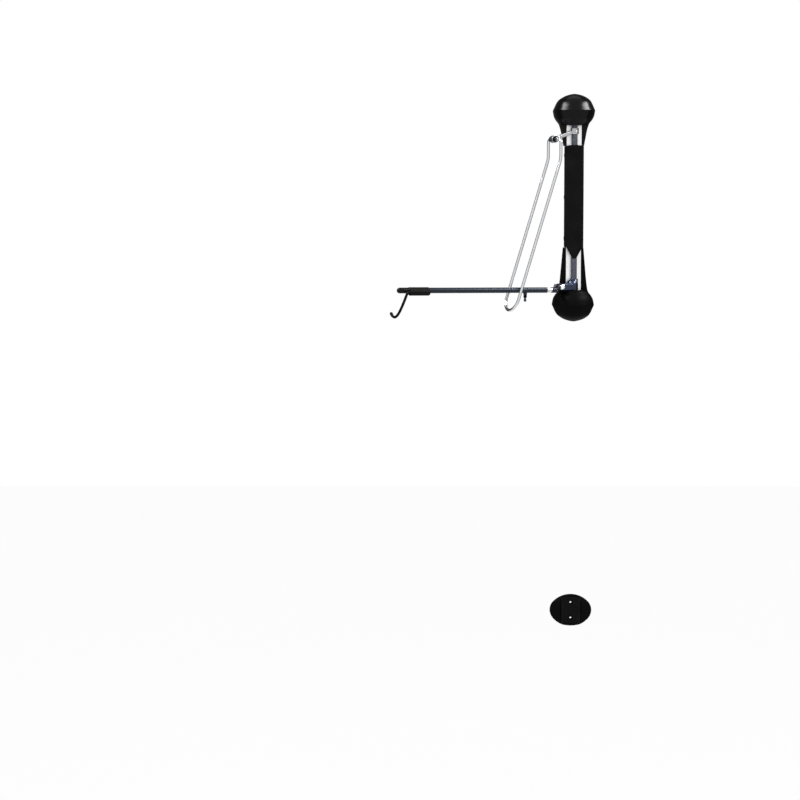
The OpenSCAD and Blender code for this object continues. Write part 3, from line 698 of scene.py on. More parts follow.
@dataclass
class Studio:
    """The camera, the pale floor, the world and the lamps."""

    camera_place: Point3 = (-0.480, -6.675, 0.025)
    camera_tilt: float = 4.8
    lens: float = 107.73
    sensor: float = 36.0
    far_end: float = 60.0
    floor_z: float = -1.62
    floor_size: float = 14.0
    floor_glow: float = 0.94
    world_level: float = 0.62
    flag_level: float = 0.07
    flag_start: tuple[Point3, ...] = (
        (-2.6, -0.5, -3.0), (-0.6, 3.2, -3.0), (-2.6, -0.5, 4.0), (-0.6, 3.2, 4.0),
    )
    flag_steps: tuple[Point3, ...] = ((1.2, 0.0, 0.0), (2.0, -3.7, 0.0))

    def build(self) -> None:
        """Builds the whole studio."""
        bpy.context.scene.view_settings.view_transform = "Standard"
        self.shoot()
        self.lay_floor()
        self.light_world()
        self.hang_flag()
        soft, glint = Role.SOFT, Role.GLINT
        self.softbox("key_softbox", (-2.3, -2.2, 1.55), (0.0, -0.05, 0.1), (0.9, 1.5), 34.0, soft)
        self.softbox("fill_softbox", (2.6, -1.7, 1.35), (0.0, -0.05, 0.1), (0.9, 1.5), 24.0, soft)
        self.softbox("top_softbox", (-0.3, -1.6, 3.2), (0.0, -0.1, -0.2), (2.2, 1.2), 24.0, soft)
        self.softbox("rear_softbox", (0.4, 2.6, 1.2), (0.0, 0.0, -0.2), (2.0, 1.6), 10.0, soft)
        self.softbox("left_glint", (-1.60, -0.66, 1.54), (-0.03, -0.09, 0.27), (1.3, 0.55), 76.0, glint)
        self.softbox("right_glint", (1.68, -0.46, 1.50), (0.03, -0.09, 0.27), (1.5, 0.55), 100.0, glint)

    def shoot(self) -> None:
        """Adds the camera, with the picture's viewing angle."""
        bpy.ops.object.camera_add(
            location=self.camera_place, rotation=(math.radians(90.0 - self.camera_tilt), 0.0, 0.0)
        )
        camera = bpy.context.object
        camera.name = "camera"
        camera.data.lens = self.lens
        camera.data.sensor_width = self.sensor
        camera.data.clip_end = self.far_end
        bpy.context.scene.camera = camera

    def lay_floor(self) -> None:
        """Lays the pale floor under the rack."""
        Bench.clear_selection()
        bpy.ops.mesh.primitive_plane_add(size=self.floor_size, location=(0.0, 0.0, self.floor_z))
        floor = bpy.context.object
        floor.name = "floor"
        shader = Shader("floor_paint")
        speckle = shader.noise(60.0, 4.0)
        shader.finish(
            Base_Color=shader.mix(speckle, (0.80, 0.80, 0.80), (0.84, 0.84, 0.84)), Roughness=0.85
        )
        share = shader.seen_directly("Is Camera Ray", "Is Glossy Ray") * self.floor_glow
        glow = shader.add("ShaderNodeEmission", {}, {"Color": (1.0, 1.0, 1.0, 1.0), "Strength": 1.0})
        sockets = {0: share, 1: shader.surface.outputs[0], 2: glow.outputs[0]}
        mixed = shader.add("ShaderNodeMixShader", {}, sockets)
        shader.connect(mixed.outputs[0], shader.output.inputs["Surface"])
        floor.data.materials.append(shader.material)

    def hang_flag(self) -> None:
        """Hangs a bent grey flag behind the rack, which only reflections see: it darkens metal's edges."""
        Bench.clear_selection()
        bpy.ops.mesh.primitive_plane_add(size=1.0, location=(0.0, 0.0, 0.0))
        flag = bpy.context.object
        flag.name = "flag"
        with Bench.editing(flag) as mesh:
            for vert, (x, y, z) in zip(mesh.verts, self.flag_start):
                vert.co = (x, y, z)
            for shift in self.flag_steps:
                edge_x = max(vert.co.x for vert in bmesh.from_edit_mesh(flag.data).verts) / MM - 1.0
                Bench.select_edges(flag, lambda middle, along: middle.x > edge_x and abs(along.z) > 0.9)
                bpy.ops.mesh.extrude_region_move(TRANSFORM_OT_translate={"value": shift})
        shader = Shader("flag_cloth")
        weave = shader.noise(40.0, 2.0)
        shader.finish(
            Base_Color=shader.mix(weave, (0.02, 0.02, 0.02), (0.03, 0.03, 0.03)), Roughness=1.0,
            Specular_IOR_Level=0.0, Emission_Color=shader.mix(weave, (0.9, 0.9, 0.9), (1.0, 1.0, 1.0)),
            Emission_Strength=self.flag_level,
        )
        flag.data.materials.append(shader.material)
        flag.visible_camera = flag.visible_diffuse = flag.visible_shadow = False
        flag.visible_transmission = flag.visible_volume_scatter = False

    def light_world(self) -> None:
        """Makes the world white where it is seen, and a plain soft light elsewhere."""
        world = bpy.data.worlds.new("studio_world")
        bpy.context.scene.world = world
        world.use_nodes = True
        nodes = Nodes(world.node_tree)
        seen = nodes.seen_directly("Is Camera Ray", "Is Glossy Ray", "Is Transmission Ray")
        levels = {"Value": seen, "To Min": self.world_level, "To Max": 1.0}
        level = nodes.add("ShaderNodeMapRange", {}, levels).outputs["Result"]
        white = {"Color": (1.0, 1.0, 1.0, 1.0), "Strength": level}
        background = nodes.add("ShaderNodeBackground", {}, white)
        nodes.add("ShaderNodeOutputWorld", {}, {"Surface": background.outputs[0]})

    def softbox(
        self, name: str, place: Point3, aim: Point3, size: Point2, power: float, role: Role
    ) -> None:
        """Hangs one rectangular soft lamp.

        Args:
            name: the lamp's name.
            place: where it hangs, in metres.
            aim: the point it faces.
            size: its width and height, in metres.
            power: its power, in watts.
            role: whether it lights surfaces or only shows in their gloss.
        """
        turn = (Vector(aim) - Vector(place)).to_track_quat("-Z", "Y").to_euler()
        bpy.ops.object.light_add(type="AREA", location=place, rotation=turn)
        lamp = bpy.context.object
        lamp.name = name
        lamp.data.shape = "RECTANGLE"
        lamp.data.size, lamp.data.size_y = size
        lamp.data.energy = power
        lamp.visible_glossy = role is Role.GLINT
        lamp.visible_diffuse = role is Role.SOFT


def round_off(points: Sequence[Point2], radius: float, steps: int = 5) -> list[Point2]:
    """Rounds the inner corners of a line of points.

    Args:
        points: the line's points.
        radius: the corner radius, made smaller where a side is short.
        steps: how many segments each rounded corner has.

    Returns:
        The line with its corners rounded.
    """
    nearly_straight, share = math.pi - 0.02, 0.45
    rounded: list[Point2] = [points[0]]
    for before, corner, after in zip(points, points[1:], points[2:]):
        here = Vector(corner)
        one, two = Vector(before) - here, Vector(after) - here
        turn = one.angle(two, math.pi)
        if turn > nearly_straight:
            rounded.append(corner)
            continue
        reach = min(radius / math.tan(turn / 2), share * one.length, share * two.length)
        start, end = here + one.normalized() * reach, here + two.normalized() * reach
        for step in range(steps + 1):
            t = step / steps
            spot = start * (1 - t) ** 2 + here * 2 * t * (1 - t) + end * t**2
            rounded.append((spot.x, spot.y))
    rounded.append(points[-1])
    return rounded


def smooth_path(points: Sequence[Sequence[float]], steps: int) -> list[Vector]:
    """Runs a smooth curve through points.

    Args:
        points: the points, in two or three dimensions.
        steps: how many stretches lie between two points.

    Returns:
        The curve's points.
    """
    spots = [Vector(point) for point in points]
    last = len(spots) - 1
    path: list[Vector] = []
    for index in range(last):
        a, b, c = spots[max(index - 1, 0)], spots[index], spots[index + 1]
        d = spots[min(index + 2, last)]
        square, cube = 2 * a - 5 * b + 4 * c - d, 3 * b - a - 3 * c + d
        for step in range(steps):
            u = step / steps
            path.append(0.5 * (2 * b + (c - a) * u + square * u**2 + cube * u**3))
    path.append(spots[-1])
    return path


def bent_path(corners: Sequence[Point3], radii: Sequence[float]) -> list[Vector]:
    """Runs straight lines from corner to corner and rounds each inner corner with a true arc.

    Args:
        corners: the corners, with both ends.
        radii: the bend radius at each inner corner.

    Returns:
        The path's points, with a point every six degrees of a bend.
    """
    path = [Vector(corners[0])]
    for before, corner, after, radius in zip(corners, corners[1:], corners[2:], radii):
        here = Vector(corner)
        one, two = (Vector(before) - here).normalized(), (Vector(after) - here).normalized()
        half = one.angle(two) / 2
        centre = here + (one + two).normalized() * (radius / math.sin(half))
        spoke = here + one * (radius / math.tan(half)) - centre
        sweep = math.pi - 2 * half
        axis = spoke.cross(here + two * (radius / math.tan(half)) - centre).normalized()
        count = max(4, round(math.degrees(sweep) / 6))
        turns = [Matrix.Rotation(sweep * step / count, 3, axis) for step in range(count + 1)]
        path += [centre + turn @ spoke for turn in turns]
    path.append(Vector(corners[-1]))
    return path


def round_end(radius: float, corner: float, at: float, outwards: int) -> list[Point2]:
    """Gives the profile of a rounded rim, from the face to the side.

    Args:
        radius: the piece's radius.
        corner: the rim's radius.
        at: the height of the face.
        outwards: -1 for a rim at the low end, 1 for one at the high end.

    Returns:
        Radius and height of each ring.
    """
    steps = 4
    angles = [math.pi / 2 * step / steps for step in range(steps + 1)]
    rim = [
        (radius - corner + corner * math.sin(a), at - outwards * corner * (1 - math.cos(a)))
        for a in angles
    ]
    return rim if outwards < 0 else rim[::-1]


def barrel_profile(radius: float, low: float, high: float, rims: Point2) -> list[Point2]:
    """Gives the profile of a solid barrel with rounded rims.

    Args:
        radius: its radius.
        low: the height of its low face.
        high: the height of its high face.
        rims: the low and the high rim's radius.

    Returns:
        Radius and height of each ring.
    """
    return [*round_end(radius, rims[0], low, -1), *round_end(radius, rims[1], high, 1)]


def sleeve_profile(outer: float, inner: float, low: float, high: float, rim: float) -> list[Point2]:
    """Gives the profile of a sleeve with rounded outer rims, for a ring that is bridged shut.

    Args:
        outer: the outer radius.
        inner: the bore's radius.
        low: the height of its low face.
        high: the height of its high face.
        rim: the rims' radius.

    Returns:
        Radius and height of each ring.
    """
    return [*barrel_profile(outer, low, high, (rim, rim)), (inner, high), (inner, low)]


class Bench:
    """The workbench: modelling steps that the sub-assemblies share."""

    @staticmethod
    def clear_selection() -> None:
        """Leaves edit mode and deselects every object."""
        if bpy.context.object is not None and bpy.context.object.mode != "OBJECT":
            bpy.ops.object.mode_set(mode="OBJECT")
        bpy.ops.object.select_all(action="DESELECT")

    @staticmethod
    @contextmanager
    def editing(piece: bpy.types.Object) -> Iterator[bmesh.types.BMesh]:
        """Opens a piece in edit mode and closes it again.

        Args:
            piece: the mesh object.

        Yields:
            The edit mesh.
        """
        bpy.context.view_layer.objects.active = piece
        bpy.ops.object.mode_set(mode="EDIT")
        try:
            yield bmesh.from_edit_mesh(piece.data)
        finally:
            bpy.ops.object.mode_set(mode="OBJECT")

    @staticmethod
    def select_edges(piece: bpy.types.Object, test: Callable[[Vector, Vector], bool]) -> None:
        """Selects edges by their place and direction; the piece is in edit mode.

        Args:
            piece: the mesh object.
            test: gets an edge's middle in millimetres and its direction, and tells if it is wanted.
        """
        bpy.ops.mesh.select_mode(type="EDGE")
        bpy.ops.mesh.select_all(action="DESELECT")
        mesh = bmesh.from_edit_mesh(piece.data)
        for edge in mesh.edges:
            one, two = (vert.co / MM for vert in edge.verts)
            if test((one + two) / 2, (two - one).normalized()):
                edge.select_set(True)
        mesh.select_flush_mode()
        bmesh.update_edit_mesh(piece.data)

    @staticmethod
    def turned(
        name: str, profile: Sequence[Point2], steps: int = 64, ring: bool = False
    ) -> bpy.types.Object:
        """Turns a piece about the Z axis: a disc is extruded and scaled from ring to ring.

        Args:
            name: the piece's name.
            profile: radius and height of each ring, in millimetres.
            steps: how many sides the rings have.
            ring: True for a hollow piece, whose profile runs round its wall and is closed by a bridge.

        Returns:
            The piece, standing on the local Z axis.
        """
        Bench.clear_selection()
        radius, height = profile[0]
        bpy.ops.mesh.primitive_circle_add(
            vertices=steps, radius=radius * MM, location=(0.0, 0.0, height * MM),
            fill_type="NOTHING" if ring else "NGON",
        )
        piece = bpy.context.object
        piece.name = name
        bpy.ops.object.transform_apply(location=True, rotation=True, scale=True)
        with Bench.editing(piece):
            bpy.ops.mesh.select_all(action="SELECT")
            for (from_r, from_z), (to_r, to_z) in zip(profile, profile[1:]):
                rise = (0.0, 0.0, (to_z - from_z) * MM)
                bpy.ops.mesh.extrude_region_move(TRANSFORM_OT_translate={"value": rise})
                if abs(to_r - from_r) > SAME:
                    scale = (to_r / from_r, to_r / from_r, 1.0)
                    bpy.ops.transform.resize(value=scale, center_override=(0.0, 0.0, to_z * MM))
            if ring:
                bpy.ops.mesh.select_all(action="DESELECT")
                bpy.ops.mesh.select_mode(type="EDGE")
                bpy.ops.mesh.select_non_manifold()
                bpy.ops.mesh.bridge_edge_loops()
            bpy.ops.mesh.select_all(action="SELECT")
            bpy.ops.mesh.normals_make_consistent(inside=False)
        return piece

    @staticmethod
    def outline(name: str, points: Sequence[Point2], height: float) -> bpy.types.Object:
        """Draws an outline point by point, fills it and extrudes it upwards.

        Args:
            name: the piece's name.
            points: the outline's corners, in millimetres.
            height: how far it is extruded.

        Returns:
            The piece, standing on the plane z = 0.
        """
        Bench.clear_selection()
        bpy.ops.mesh.primitive_plane_add(size=MM)
        piece = bpy.context.object
        piece.name = name
        with Bench.editing(piece) as mesh:
            bpy.ops.mesh.select_mode(type="VERT")
            bpy.ops.mesh.select_all(action="SELECT")
            mesh.verts.ensure_lookup_table()
            mesh.verts[0].select_set(False)
            bmesh.update_edit_mesh(piece.data)
            bpy.ops.mesh.delete(type="VERT")
            bpy.ops.mesh.select_all(action="SELECT")
            start = bmesh.from_edit_mesh(piece.data).verts[:][0].co.copy()
            bpy.ops.transform.translate(value=Vector((*points[0], 0.0)) * MM - start)
            for one, two in zip(points, points[1:]):
                step = (Vector(two) - Vector(one)) * MM
                bpy.ops.mesh.extrude_vertices_move(
                    TRANSFORM_OT_translate={"value": (step.x, step.y, 0.0)}
                )
            bpy.ops.mesh.select_all(action="SELECT")
            bpy.ops.mesh.edge_face_add()
            bpy.ops.mesh.extrude_region_move(TRANSFORM_OT_translate={"value": (0.0, 0.0, height * MM)})
            bpy.ops.mesh.select_all(action="SELECT")
            bpy.ops.mesh.normals_make_consistent(inside=False)
        return piece

    @staticmethod
    def wire(name: str, radius: float, path: Sequence[Vector], sides: int = 24) -> bpy.types.Object:
        """Bends a wire along a path.

        Args:
            name: the piece's name.
            radius: the wire's radius, in millimetres.
            path: the points that its middle follows.
            sides: how many sides it has.

        Returns:
            The wire as a mesh.
        """
        Bench.clear_selection()
        line = bpy.data.curves.new(name, "CURVE")
        line.dimensions = "3D"
        line.bevel_depth = radius * MM
        line.bevel_resolution = (sides - 4) // 2
        line.use_fill_caps = True
        spline = line.splines.new("POLY")
        spline.points.add(len(path) - 1)
        for point, spot in zip(spline.points, path):
            point.co = (*(spot * MM), 1.0)
        piece = bpy.data.objects.new(name, line)
        bpy.context.collection.objects.link(piece)
        piece.select_set(True)
        bpy.context.view_layer.objects.active = piece
        bpy.ops.object.convert(target="MESH")
        piece = bpy.context.object
        Bench.recalculate(piece)
        return piece

    @staticmethod
    def halve(piece: bpy.types.Object, depth: float) -> None:
        """Cuts a turned piece in half, keeps the front half and carries its cut edge straight back.

        Args:
            piece: the piece, turned about the local Z axis.
            depth: how far the cut edge is carried back, in millimetres.
        """
        with Bench.editing(piece):
            bpy.ops.mesh.select_all(action="SELECT")
            bpy.ops.mesh.bisect(
                plane_co=(0.0, 0.0, 0.0), plane_no=(0.0, 1.0, 0.0), clear_outer=True, threshold=SAME
            )
            Bench.select_edges(piece, lambda middle, along: middle.y > -0.001 and abs(along.y) < 0.001)
            bpy.ops.mesh.extrude_region_move(TRANSFORM_OT_translate={"value": (0.0, depth * MM, 0.0)})
            bpy.ops.mesh.select_all(action="SELECT")
            bpy.ops.mesh.remove_doubles(threshold=SAME)
            bpy.ops.mesh.normals_make_consistent(inside=False)

    @staticmethod
    def wrap(pieces: Sequence[bpy.types.Object], name: str) -> bpy.types.Object:
        """Joins pieces and draws one skin tightly round them.

        Args:
            pieces: the meshes.
            name: the skin's name.

        Returns:
            The skin.
        """
        joined = Bench.join(pieces, name)
        with Bench.editing(joined):
            bpy.ops.mesh.select_all(action="SELECT")
            bpy.ops.mesh.convex_hull(join_triangles=True)
            bpy.ops.mesh.select_all(action="SELECT")
            bpy.ops.mesh.normals_make_consistent(inside=False)
        return joined

    @staticmethod
    def block(name: str, low: Point3, high: Point3) -> bpy.types.Object:
        """Adds a block between two corners, in millimetres.

        Args:
            name: the piece's name.
            low: the lowest corner.
            high: the highest corner.

        Returns:
            The block, with its place and size in its mesh.
        """
        Bench.clear_selection()
        middle = (Vector(low) + Vector(high)) * 0.5 * MM
        bpy.ops.mesh.primitive_cube_add(size=1.0, location=middle)
        piece = bpy.context.object
        piece.name = name
        piece.scale = (Vector(high) - Vector(low)) * MM
        bpy.ops.object.transform_apply(location=True, rotation=True, scale=True)
        return piece

    @staticmethod
    def rod(name: str, radius: float, start: Point3, end: Point3, steps: int = 48) -> bpy.types.Object:
        """Adds a plain round cutter or blank between two points, in millimetres.

        Args:
            name: the rod's name.
            radius: its radius.
            start: the middle of one end.
            end: the middle of the other end.
            steps: how many sides it has.

        Returns:
            The rod, with its place in its mesh.
        """
        Bench.clear_selection()
        one, two = Vector(start) * MM, Vector(end) * MM
        turn = (two - one).to_track_quat("Z", "Y").to_euler()
        bpy.ops.mesh.primitive_cylinder_add(
            vertices=steps, radius=radius * MM, depth=(two - one).length,
            location=(one + two) / 2, rotation=turn,
        )
        piece = bpy.context.object
        piece.name = name
        bpy.ops.object.transform_apply(location=True, rotation=True, scale=True)
        return piece

    @staticmethod
    def place(piece: bpy.types.Object, matrix: Matrix) -> bpy.types.Object:
        """Moves a piece by a matrix and puts its place in its mesh.

        Args:
            piece: the piece.
            matrix: the move, in metres.

        Returns:
            The piece.
        """
        Bench.clear_selection()
        piece.matrix_world = matrix @ piece.matrix_world
        piece.select_set(True)
        bpy.context.view_layer.objects.active = piece
        bpy.ops.object.transform_apply(location=True, rotation=True, scale=True)
        return piece

    @staticmethod
    def turn_to(piece: bpy.types.Object, axis: str, at: Point3 = (0, 0, 0)) -> bpy.types.Object:
        """Lays a piece that stands on Z along another axis and moves it.

        Args:
            piece: the piece.
            axis: X or Y for the new direction of its Z, Z to leave it, or FRONT to stand an outline
                up with its depth towards -Y.
            at: where its origin goes, in millimetres.

        Returns:
            The piece.
        """
        turns = {
            "X": Matrix.Rotation(math.pi / 2, 4, "Y"),
            "Y": Matrix.Rotation(-math.pi / 2, 4, "X"),
            "Z": Matrix.Identity(4),
            "FRONT": Matrix.Rotation(math.pi / 2, 4, "X"),
        }
        return Bench.place(piece, Matrix.Translation(Vector(at) * MM) @ turns[axis])

    @staticmethod
    def modify(piece: bpy.types.Object, kind: str, **settings: object) -> None:
        """Adds a modifier and applies it.

        Args:
            piece: the piece.
            kind: the modifier's type.
            **settings: its settings.
        """
        Bench.clear_selection()
        piece.select_set(True)
        bpy.context.view_layer.objects.active = piece
        modifier = piece.modifiers.new(kind.lower(), kind)
        for name, value in settings.items():
            setattr(modifier, name, value)
        bpy.ops.object.modifier_apply(modifier=modifier.name)

    @staticmethod
    def cut(piece: bpy.types.Object, cutter: bpy.types.Object, operation: str = "DIFFERENCE") -> None:
        """Cuts a piece with another, or fuses them, and removes the cutter.

        Args:
            piece: the piece that stays.
            cutter: the other one.
            operation: DIFFERENCE, UNION or INTERSECT.
        """
        Bench.modify(piece, "BOOLEAN", operation=operation, object=cutter, solver="MANIFOLD")
        bpy.data.objects.remove(cutter, do_unlink=True)

    @staticmethod
    def bore(piece: bpy.types.Object, radius: float, start: Point3, end: Point3) -> None:
        """Bores a round hole between two points, in millimetres."""
        Bench.cut(piece, Bench.rod("bore", radius, start, end))

    @staticmethod
    def soften(piece: bpy.types.Object, width: float, segments: int = 3, angle: float = 35.0) -> None:
        """Rounds a piece's sharp edges.

        Args:
            piece: the piece.
            width: how wide the rounding is, in millimetres.
            segments: how many segments it has.
            angle: the angle, in degrees, from which an edge is sharp.
        """
        Bench.modify(
            piece, "BEVEL", width=width * MM, segments=segments, limit_method="ANGLE",
            angle_limit=math.radians(angle), harden_normals=False, use_clamp_overlap=True,
        )

    @staticmethod
    def join(pieces: Sequence[bpy.types.Object], name: str) -> bpy.types.Object:
        """Joins several meshes into one object.

        Args:
            pieces: the meshes.
            name: the joined object's name.

        Returns:
            The joined object.
        """
        Bench.clear_selection()
        for piece in pieces:
            piece.select_set(True)
        bpy.context.view_layer.objects.active = pieces[0]
        if len(pieces) > 1:
            bpy.ops.object.join()
        joined = bpy.context.view_layer.objects.active
        joined.name = name
        return joined

    @staticmethod
    def copy(piece: bpy.types.Object, matrix: Matrix) -> bpy.types.Object:
        """Copies a piece with its own mesh.

        Args:
            piece: the piece.
            matrix: the copy's move, in metres.

        Returns:
            The copy.
        """
        twin = piece.copy()
        twin.data = piece.data.copy()
        bpy.context.collection.objects.link(twin)
        return Bench.place(twin, matrix)

    @staticmethod
    def smooth(piece: bpy.types.Object) -> None:
        """Shades a piece smooth and leaves its sharp edges.

        Args:
            piece: the piece.
        """
        Bench.clear_selection()
        piece.select_set(True)
        bpy.context.view_layer.objects.active = piece
        bpy.ops.object.shade_smooth_by_angle(angle=math.radians(SMOOTH))

    @staticmethod
    def recalculate(piece: bpy.types.Object) -> None:
        """Merges a piece's doubles and points its faces outwards.

        Args:
            piece: the piece.
        """
        with Bench.editing(piece):
            bpy.ops.mesh.select_all(action="SELECT")
            bpy.ops.mesh.remove_doubles(threshold=SAME)
            bpy.ops.mesh.normals_make_consistent(inside=False)


class Fitter:
    """Finishes pieces: puts them in place, dresses them and ties them to the frame."""

    def __init__(self, frame: dict, palette: Palette) -> None:
        """Keeps the frame and the palette.

        Args:
            palette: the rack's materials.
        """
        self.frame = frame
        self.palette = palette
        bodies = frame["record"]["behaviour"]["bodies"]
        self.body_of = {node: body for body, nodes in bodies.items() for node in nodes}

    def fit(
        self, piece: bpy.types.Object, node: str, finish: Finish, place: Place = Place.WALL
    ) -> None:
        """Fits a finished piece over a node.

        Args:
            piece: the modelled piece, in the place's frame.
            node: the node that it stands for.
            finish: its finish.
            place: the frame it was modelled in.
        """
        Bench.place(piece, place.matrix())
        Bench.smooth(piece)
        self.palette.dress(piece, finish)
        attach(piece, self.body_of[node])
        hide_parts(node)
        LOG.info("%s: %d faces, rides on %s", piece.name, len(piece.data.polygons), self.body_of[node])

    def keep(self, finish: Finish, *nodes: str) -> None:
        """Leaves solids as they are and gives them a finish.

        Args:
            finish: the finish.
            *nodes: the nodes whose solids are kept.
        """
        for node in nodes:
            self.palette.dress(self.frame["nodes"][node], finish)
            LOG.info("%s: solid kept, %s", node, finish.value)


@dataclass
class WallUnit:
    """The fixed parts at the upright: plates, tube, bearings, cover and caps."""

    fitter: Fitter
    # The slot behind the cover and the caps, which takes the upright and its brackets
    slot_half: float = 22.7
    slot_front: float = -41.2
    # The caps' turned shell, and the half width and height of its neck and of its brim
    cap_centre: float = -45.0
    cap_wall: float = 2.8
    cap_sides: int = 128
    axis_bore: float = 18.2
    neck: Point2 = (39.2, 226.5)
    brim: Point2 = (57.0, 267.0)
    chin: tuple[Point2, ...] = (
        (0.0, 0.0), (0.11, 0.08), (0.25, 0.31), (0.38, 0.55), (0.59, 0.8), (0.78, 0.91), (0.9, 0.96),
        (1.0, 1.0),
    )
    dome: tuple[Point2, ...] = (
        (56.9, 268.0), (56.2, 269.6), (53.9, 274.6), (51.5, 280.0), (49.1, 285.5), (46.2, 291.0),
        (42.4, 296.0), (37.0, 300.6), (29.5, 305.2), (20.0, 309.1), (10.0, 311.8), (3.0, 312.9),
        (1.0, 313.0),
    )
    # The caps' cheeks and the screws through them
    cheek_foot: float = 27.2
    cheek_gap: float = 0.3
    cheek_round: float = 1.6
    cheek_edge: tuple[Point2, ...] = ((0.0, 0.0), (0.2, 0.17), (0.44, 0.38), (0.8, 0.71), (1.0, 1.0))
    top_cheek: float = 171.0
    bottom_cheek: float = 109.0
    screw_y: float = -24.0
    screw_rise: float = 19.0
    screw_hole: float = 2.1
    screw_head: float = 3.8
    head_seat: float = 24.3
    # The cover's section, and the heights of its square top, its shoulders and its tip
    cover_half: float = 25.0
    cover_front: float = -72.5
    cover_back: float = -10.0
    cover_wall: float = 2.5
    cover_corner: float = 5.0
    cover_top: float = 170.0
    cover_arch: float = 2.5
    cover_shoulder: float = -108.0
    cover_tip: float = -138.0
    tip_halves: Point2 = (21.25, 5.5)
    rib: float = 2.5
    tube_room: float = 9.5
    rivet_hole: float = 2.6
    rivet_heights: Point3 = (145.0, 30.0, -83.0)

    def build(self) -> None:
        """Builds and dresses the fixed pieces."""
        self.fitter.keep(
            Finish.ZINC, "top_wall_plate", "bottom_wall_plate", "upright", "top_bearing_bracket",
            "bottom_bearing_bracket", "bracket_bolts", "rivet_nuts", "cap_screws",
        )
        self.fitter.keep(Finish.NYLON, "top_bush", "bottom_bush")
        self.fitter.keep(Finish.MATT, "cover_rivets")
        self.fitter.fit(self.end_cap("dressed_top_cap", self.top_cheek), "top_cap", Finish.GLOSS)
        lower = self.end_cap("dressed_bottom_cap", self.bottom_cheek)
        Bench.place(lower, Matrix.Scale(-1.0, 4, (0.0, 0.0, 1.0)))
        Bench.recalculate(lower)
        self.fitter.fit(lower, "bottom_cap", Finish.SCUFFED)
        self.fitter.fit(self.front_cover(), "front_cover", Finish.MATT)

    def wall_slot(self, low: float, high: float) -> bpy.types.Object:
        """Makes the cutter for the slot that takes the upright.

        Args:
            low: the height of its lower end.
            high: the height of its upper end.

        Returns:
            A block that reaches from behind the wall's face to the slot's front.
        """
        return Bench.block("slot", (-self.slot_half, self.slot_front, low), (self.slot_half, 2.0, high))

    def end_cap(self, name: str, cheek_low: float) -> bpy.types.Object:
        """Models an end cap, the right way up for the top.

        Args:
            name: the piece's name.
            cheek_low: how far down its cheeks reach.

        Returns:
            The cap: a turned shell, halved and carried back to the wall, with two cheeks.
        """
        neck_half, neck_z = self.neck
        brim_half, brim_z = self.brim
        below, above = neck_z - 2.0, neck_z + 6.0
        chin = [
            (neck_half + (brim_half - neck_half) * p.y, neck_z + (brim_z - neck_z) * p.x)
            for p in smooth_path(self.chin, 2)
        ]
        dome = [(p.x, p.y) for p in smooth_path(self.dome, 3)]
        cap = Bench.turned(name, chin + dome, self.cap_sides)
        Bench.halve(cap, -self.cap_centre)
        Bench.modify(cap, "SOLIDIFY", thickness=self.cap_wall * MM, offset=-1.0, use_even_offset=True)
        Bench.turn_to(cap, "Z", (0.0, self.cap_centre, 0.0))
        cheek = self.cheek(cheek_low)
        twin = Bench.copy(cheek, Matrix.Scale(-1.0, 4, (1.0, 0.0, 0.0)))
        Bench.recalculate(twin)
        for piece in (cheek, twin):
            Bench.cut(cap, piece, "UNION")
        Bench.bore(cap, self.axis_bore, (0.0, -AXIS_OFF, below), (0.0, -AXIS_OFF, above))
        Bench.cut(cap, self.wall_slot(cheek_low - 2.0, above))
        middle = (self.screw_y, cheek_low + self.screw_rise)
        inside, seat, recess, outside = 21.0, self.head_seat, 26.0, 60.0
        for side in (-1, 1):
            Bench.bore(cap, self.screw_hole, (side * inside, *middle), (side * recess, *middle))
            Bench.bore(cap, self.screw_head, (side * seat, *middle), (side * outside, *middle))
        return cap

    def cheek(self, low: float) -> bpy.types.Object:
        """Models the cheek on the +X side.

        Args:
            low: the height of its lower end.

        Returns:
            A tapered plate with rounded outer edges.
        """
        inner, outer, top = self.slot_half - 0.5, self.neck[0] - 0.2, self.neck[1]
        root = top + 2.5
        edge = [
            (self.cheek_foot + (outer - self.cheek_foot) * p.y, low + (top - low) * p.x)
            for p in smooth_path(self.cheek_edge, 3)
        ]
        side = [(inner, low), *edge, (outer, root), (inner, root)]
        plate = Bench.outline("cheek", side, -self.cap_centre - self.cheek_gap)
        Bench.turn_to(plate, "FRONT", (0.0, -self.cheek_gap, 0.0))

        def is_outer_rim(middle: Vector, along: Vector) -> bool:
            """Tells whether an edge is one of the cheek's outer front edges."""
            return middle.x > inner + 0.5 and middle.y < self.cap_centre + 0.1 and middle.z < top

        with Bench.editing(plate):
            Bench.select_edges(plate, is_outer_rim)
            bpy.ops.mesh.bevel(offset=self.cheek_round * MM, segments=4, affect="EDGES")
        return plate

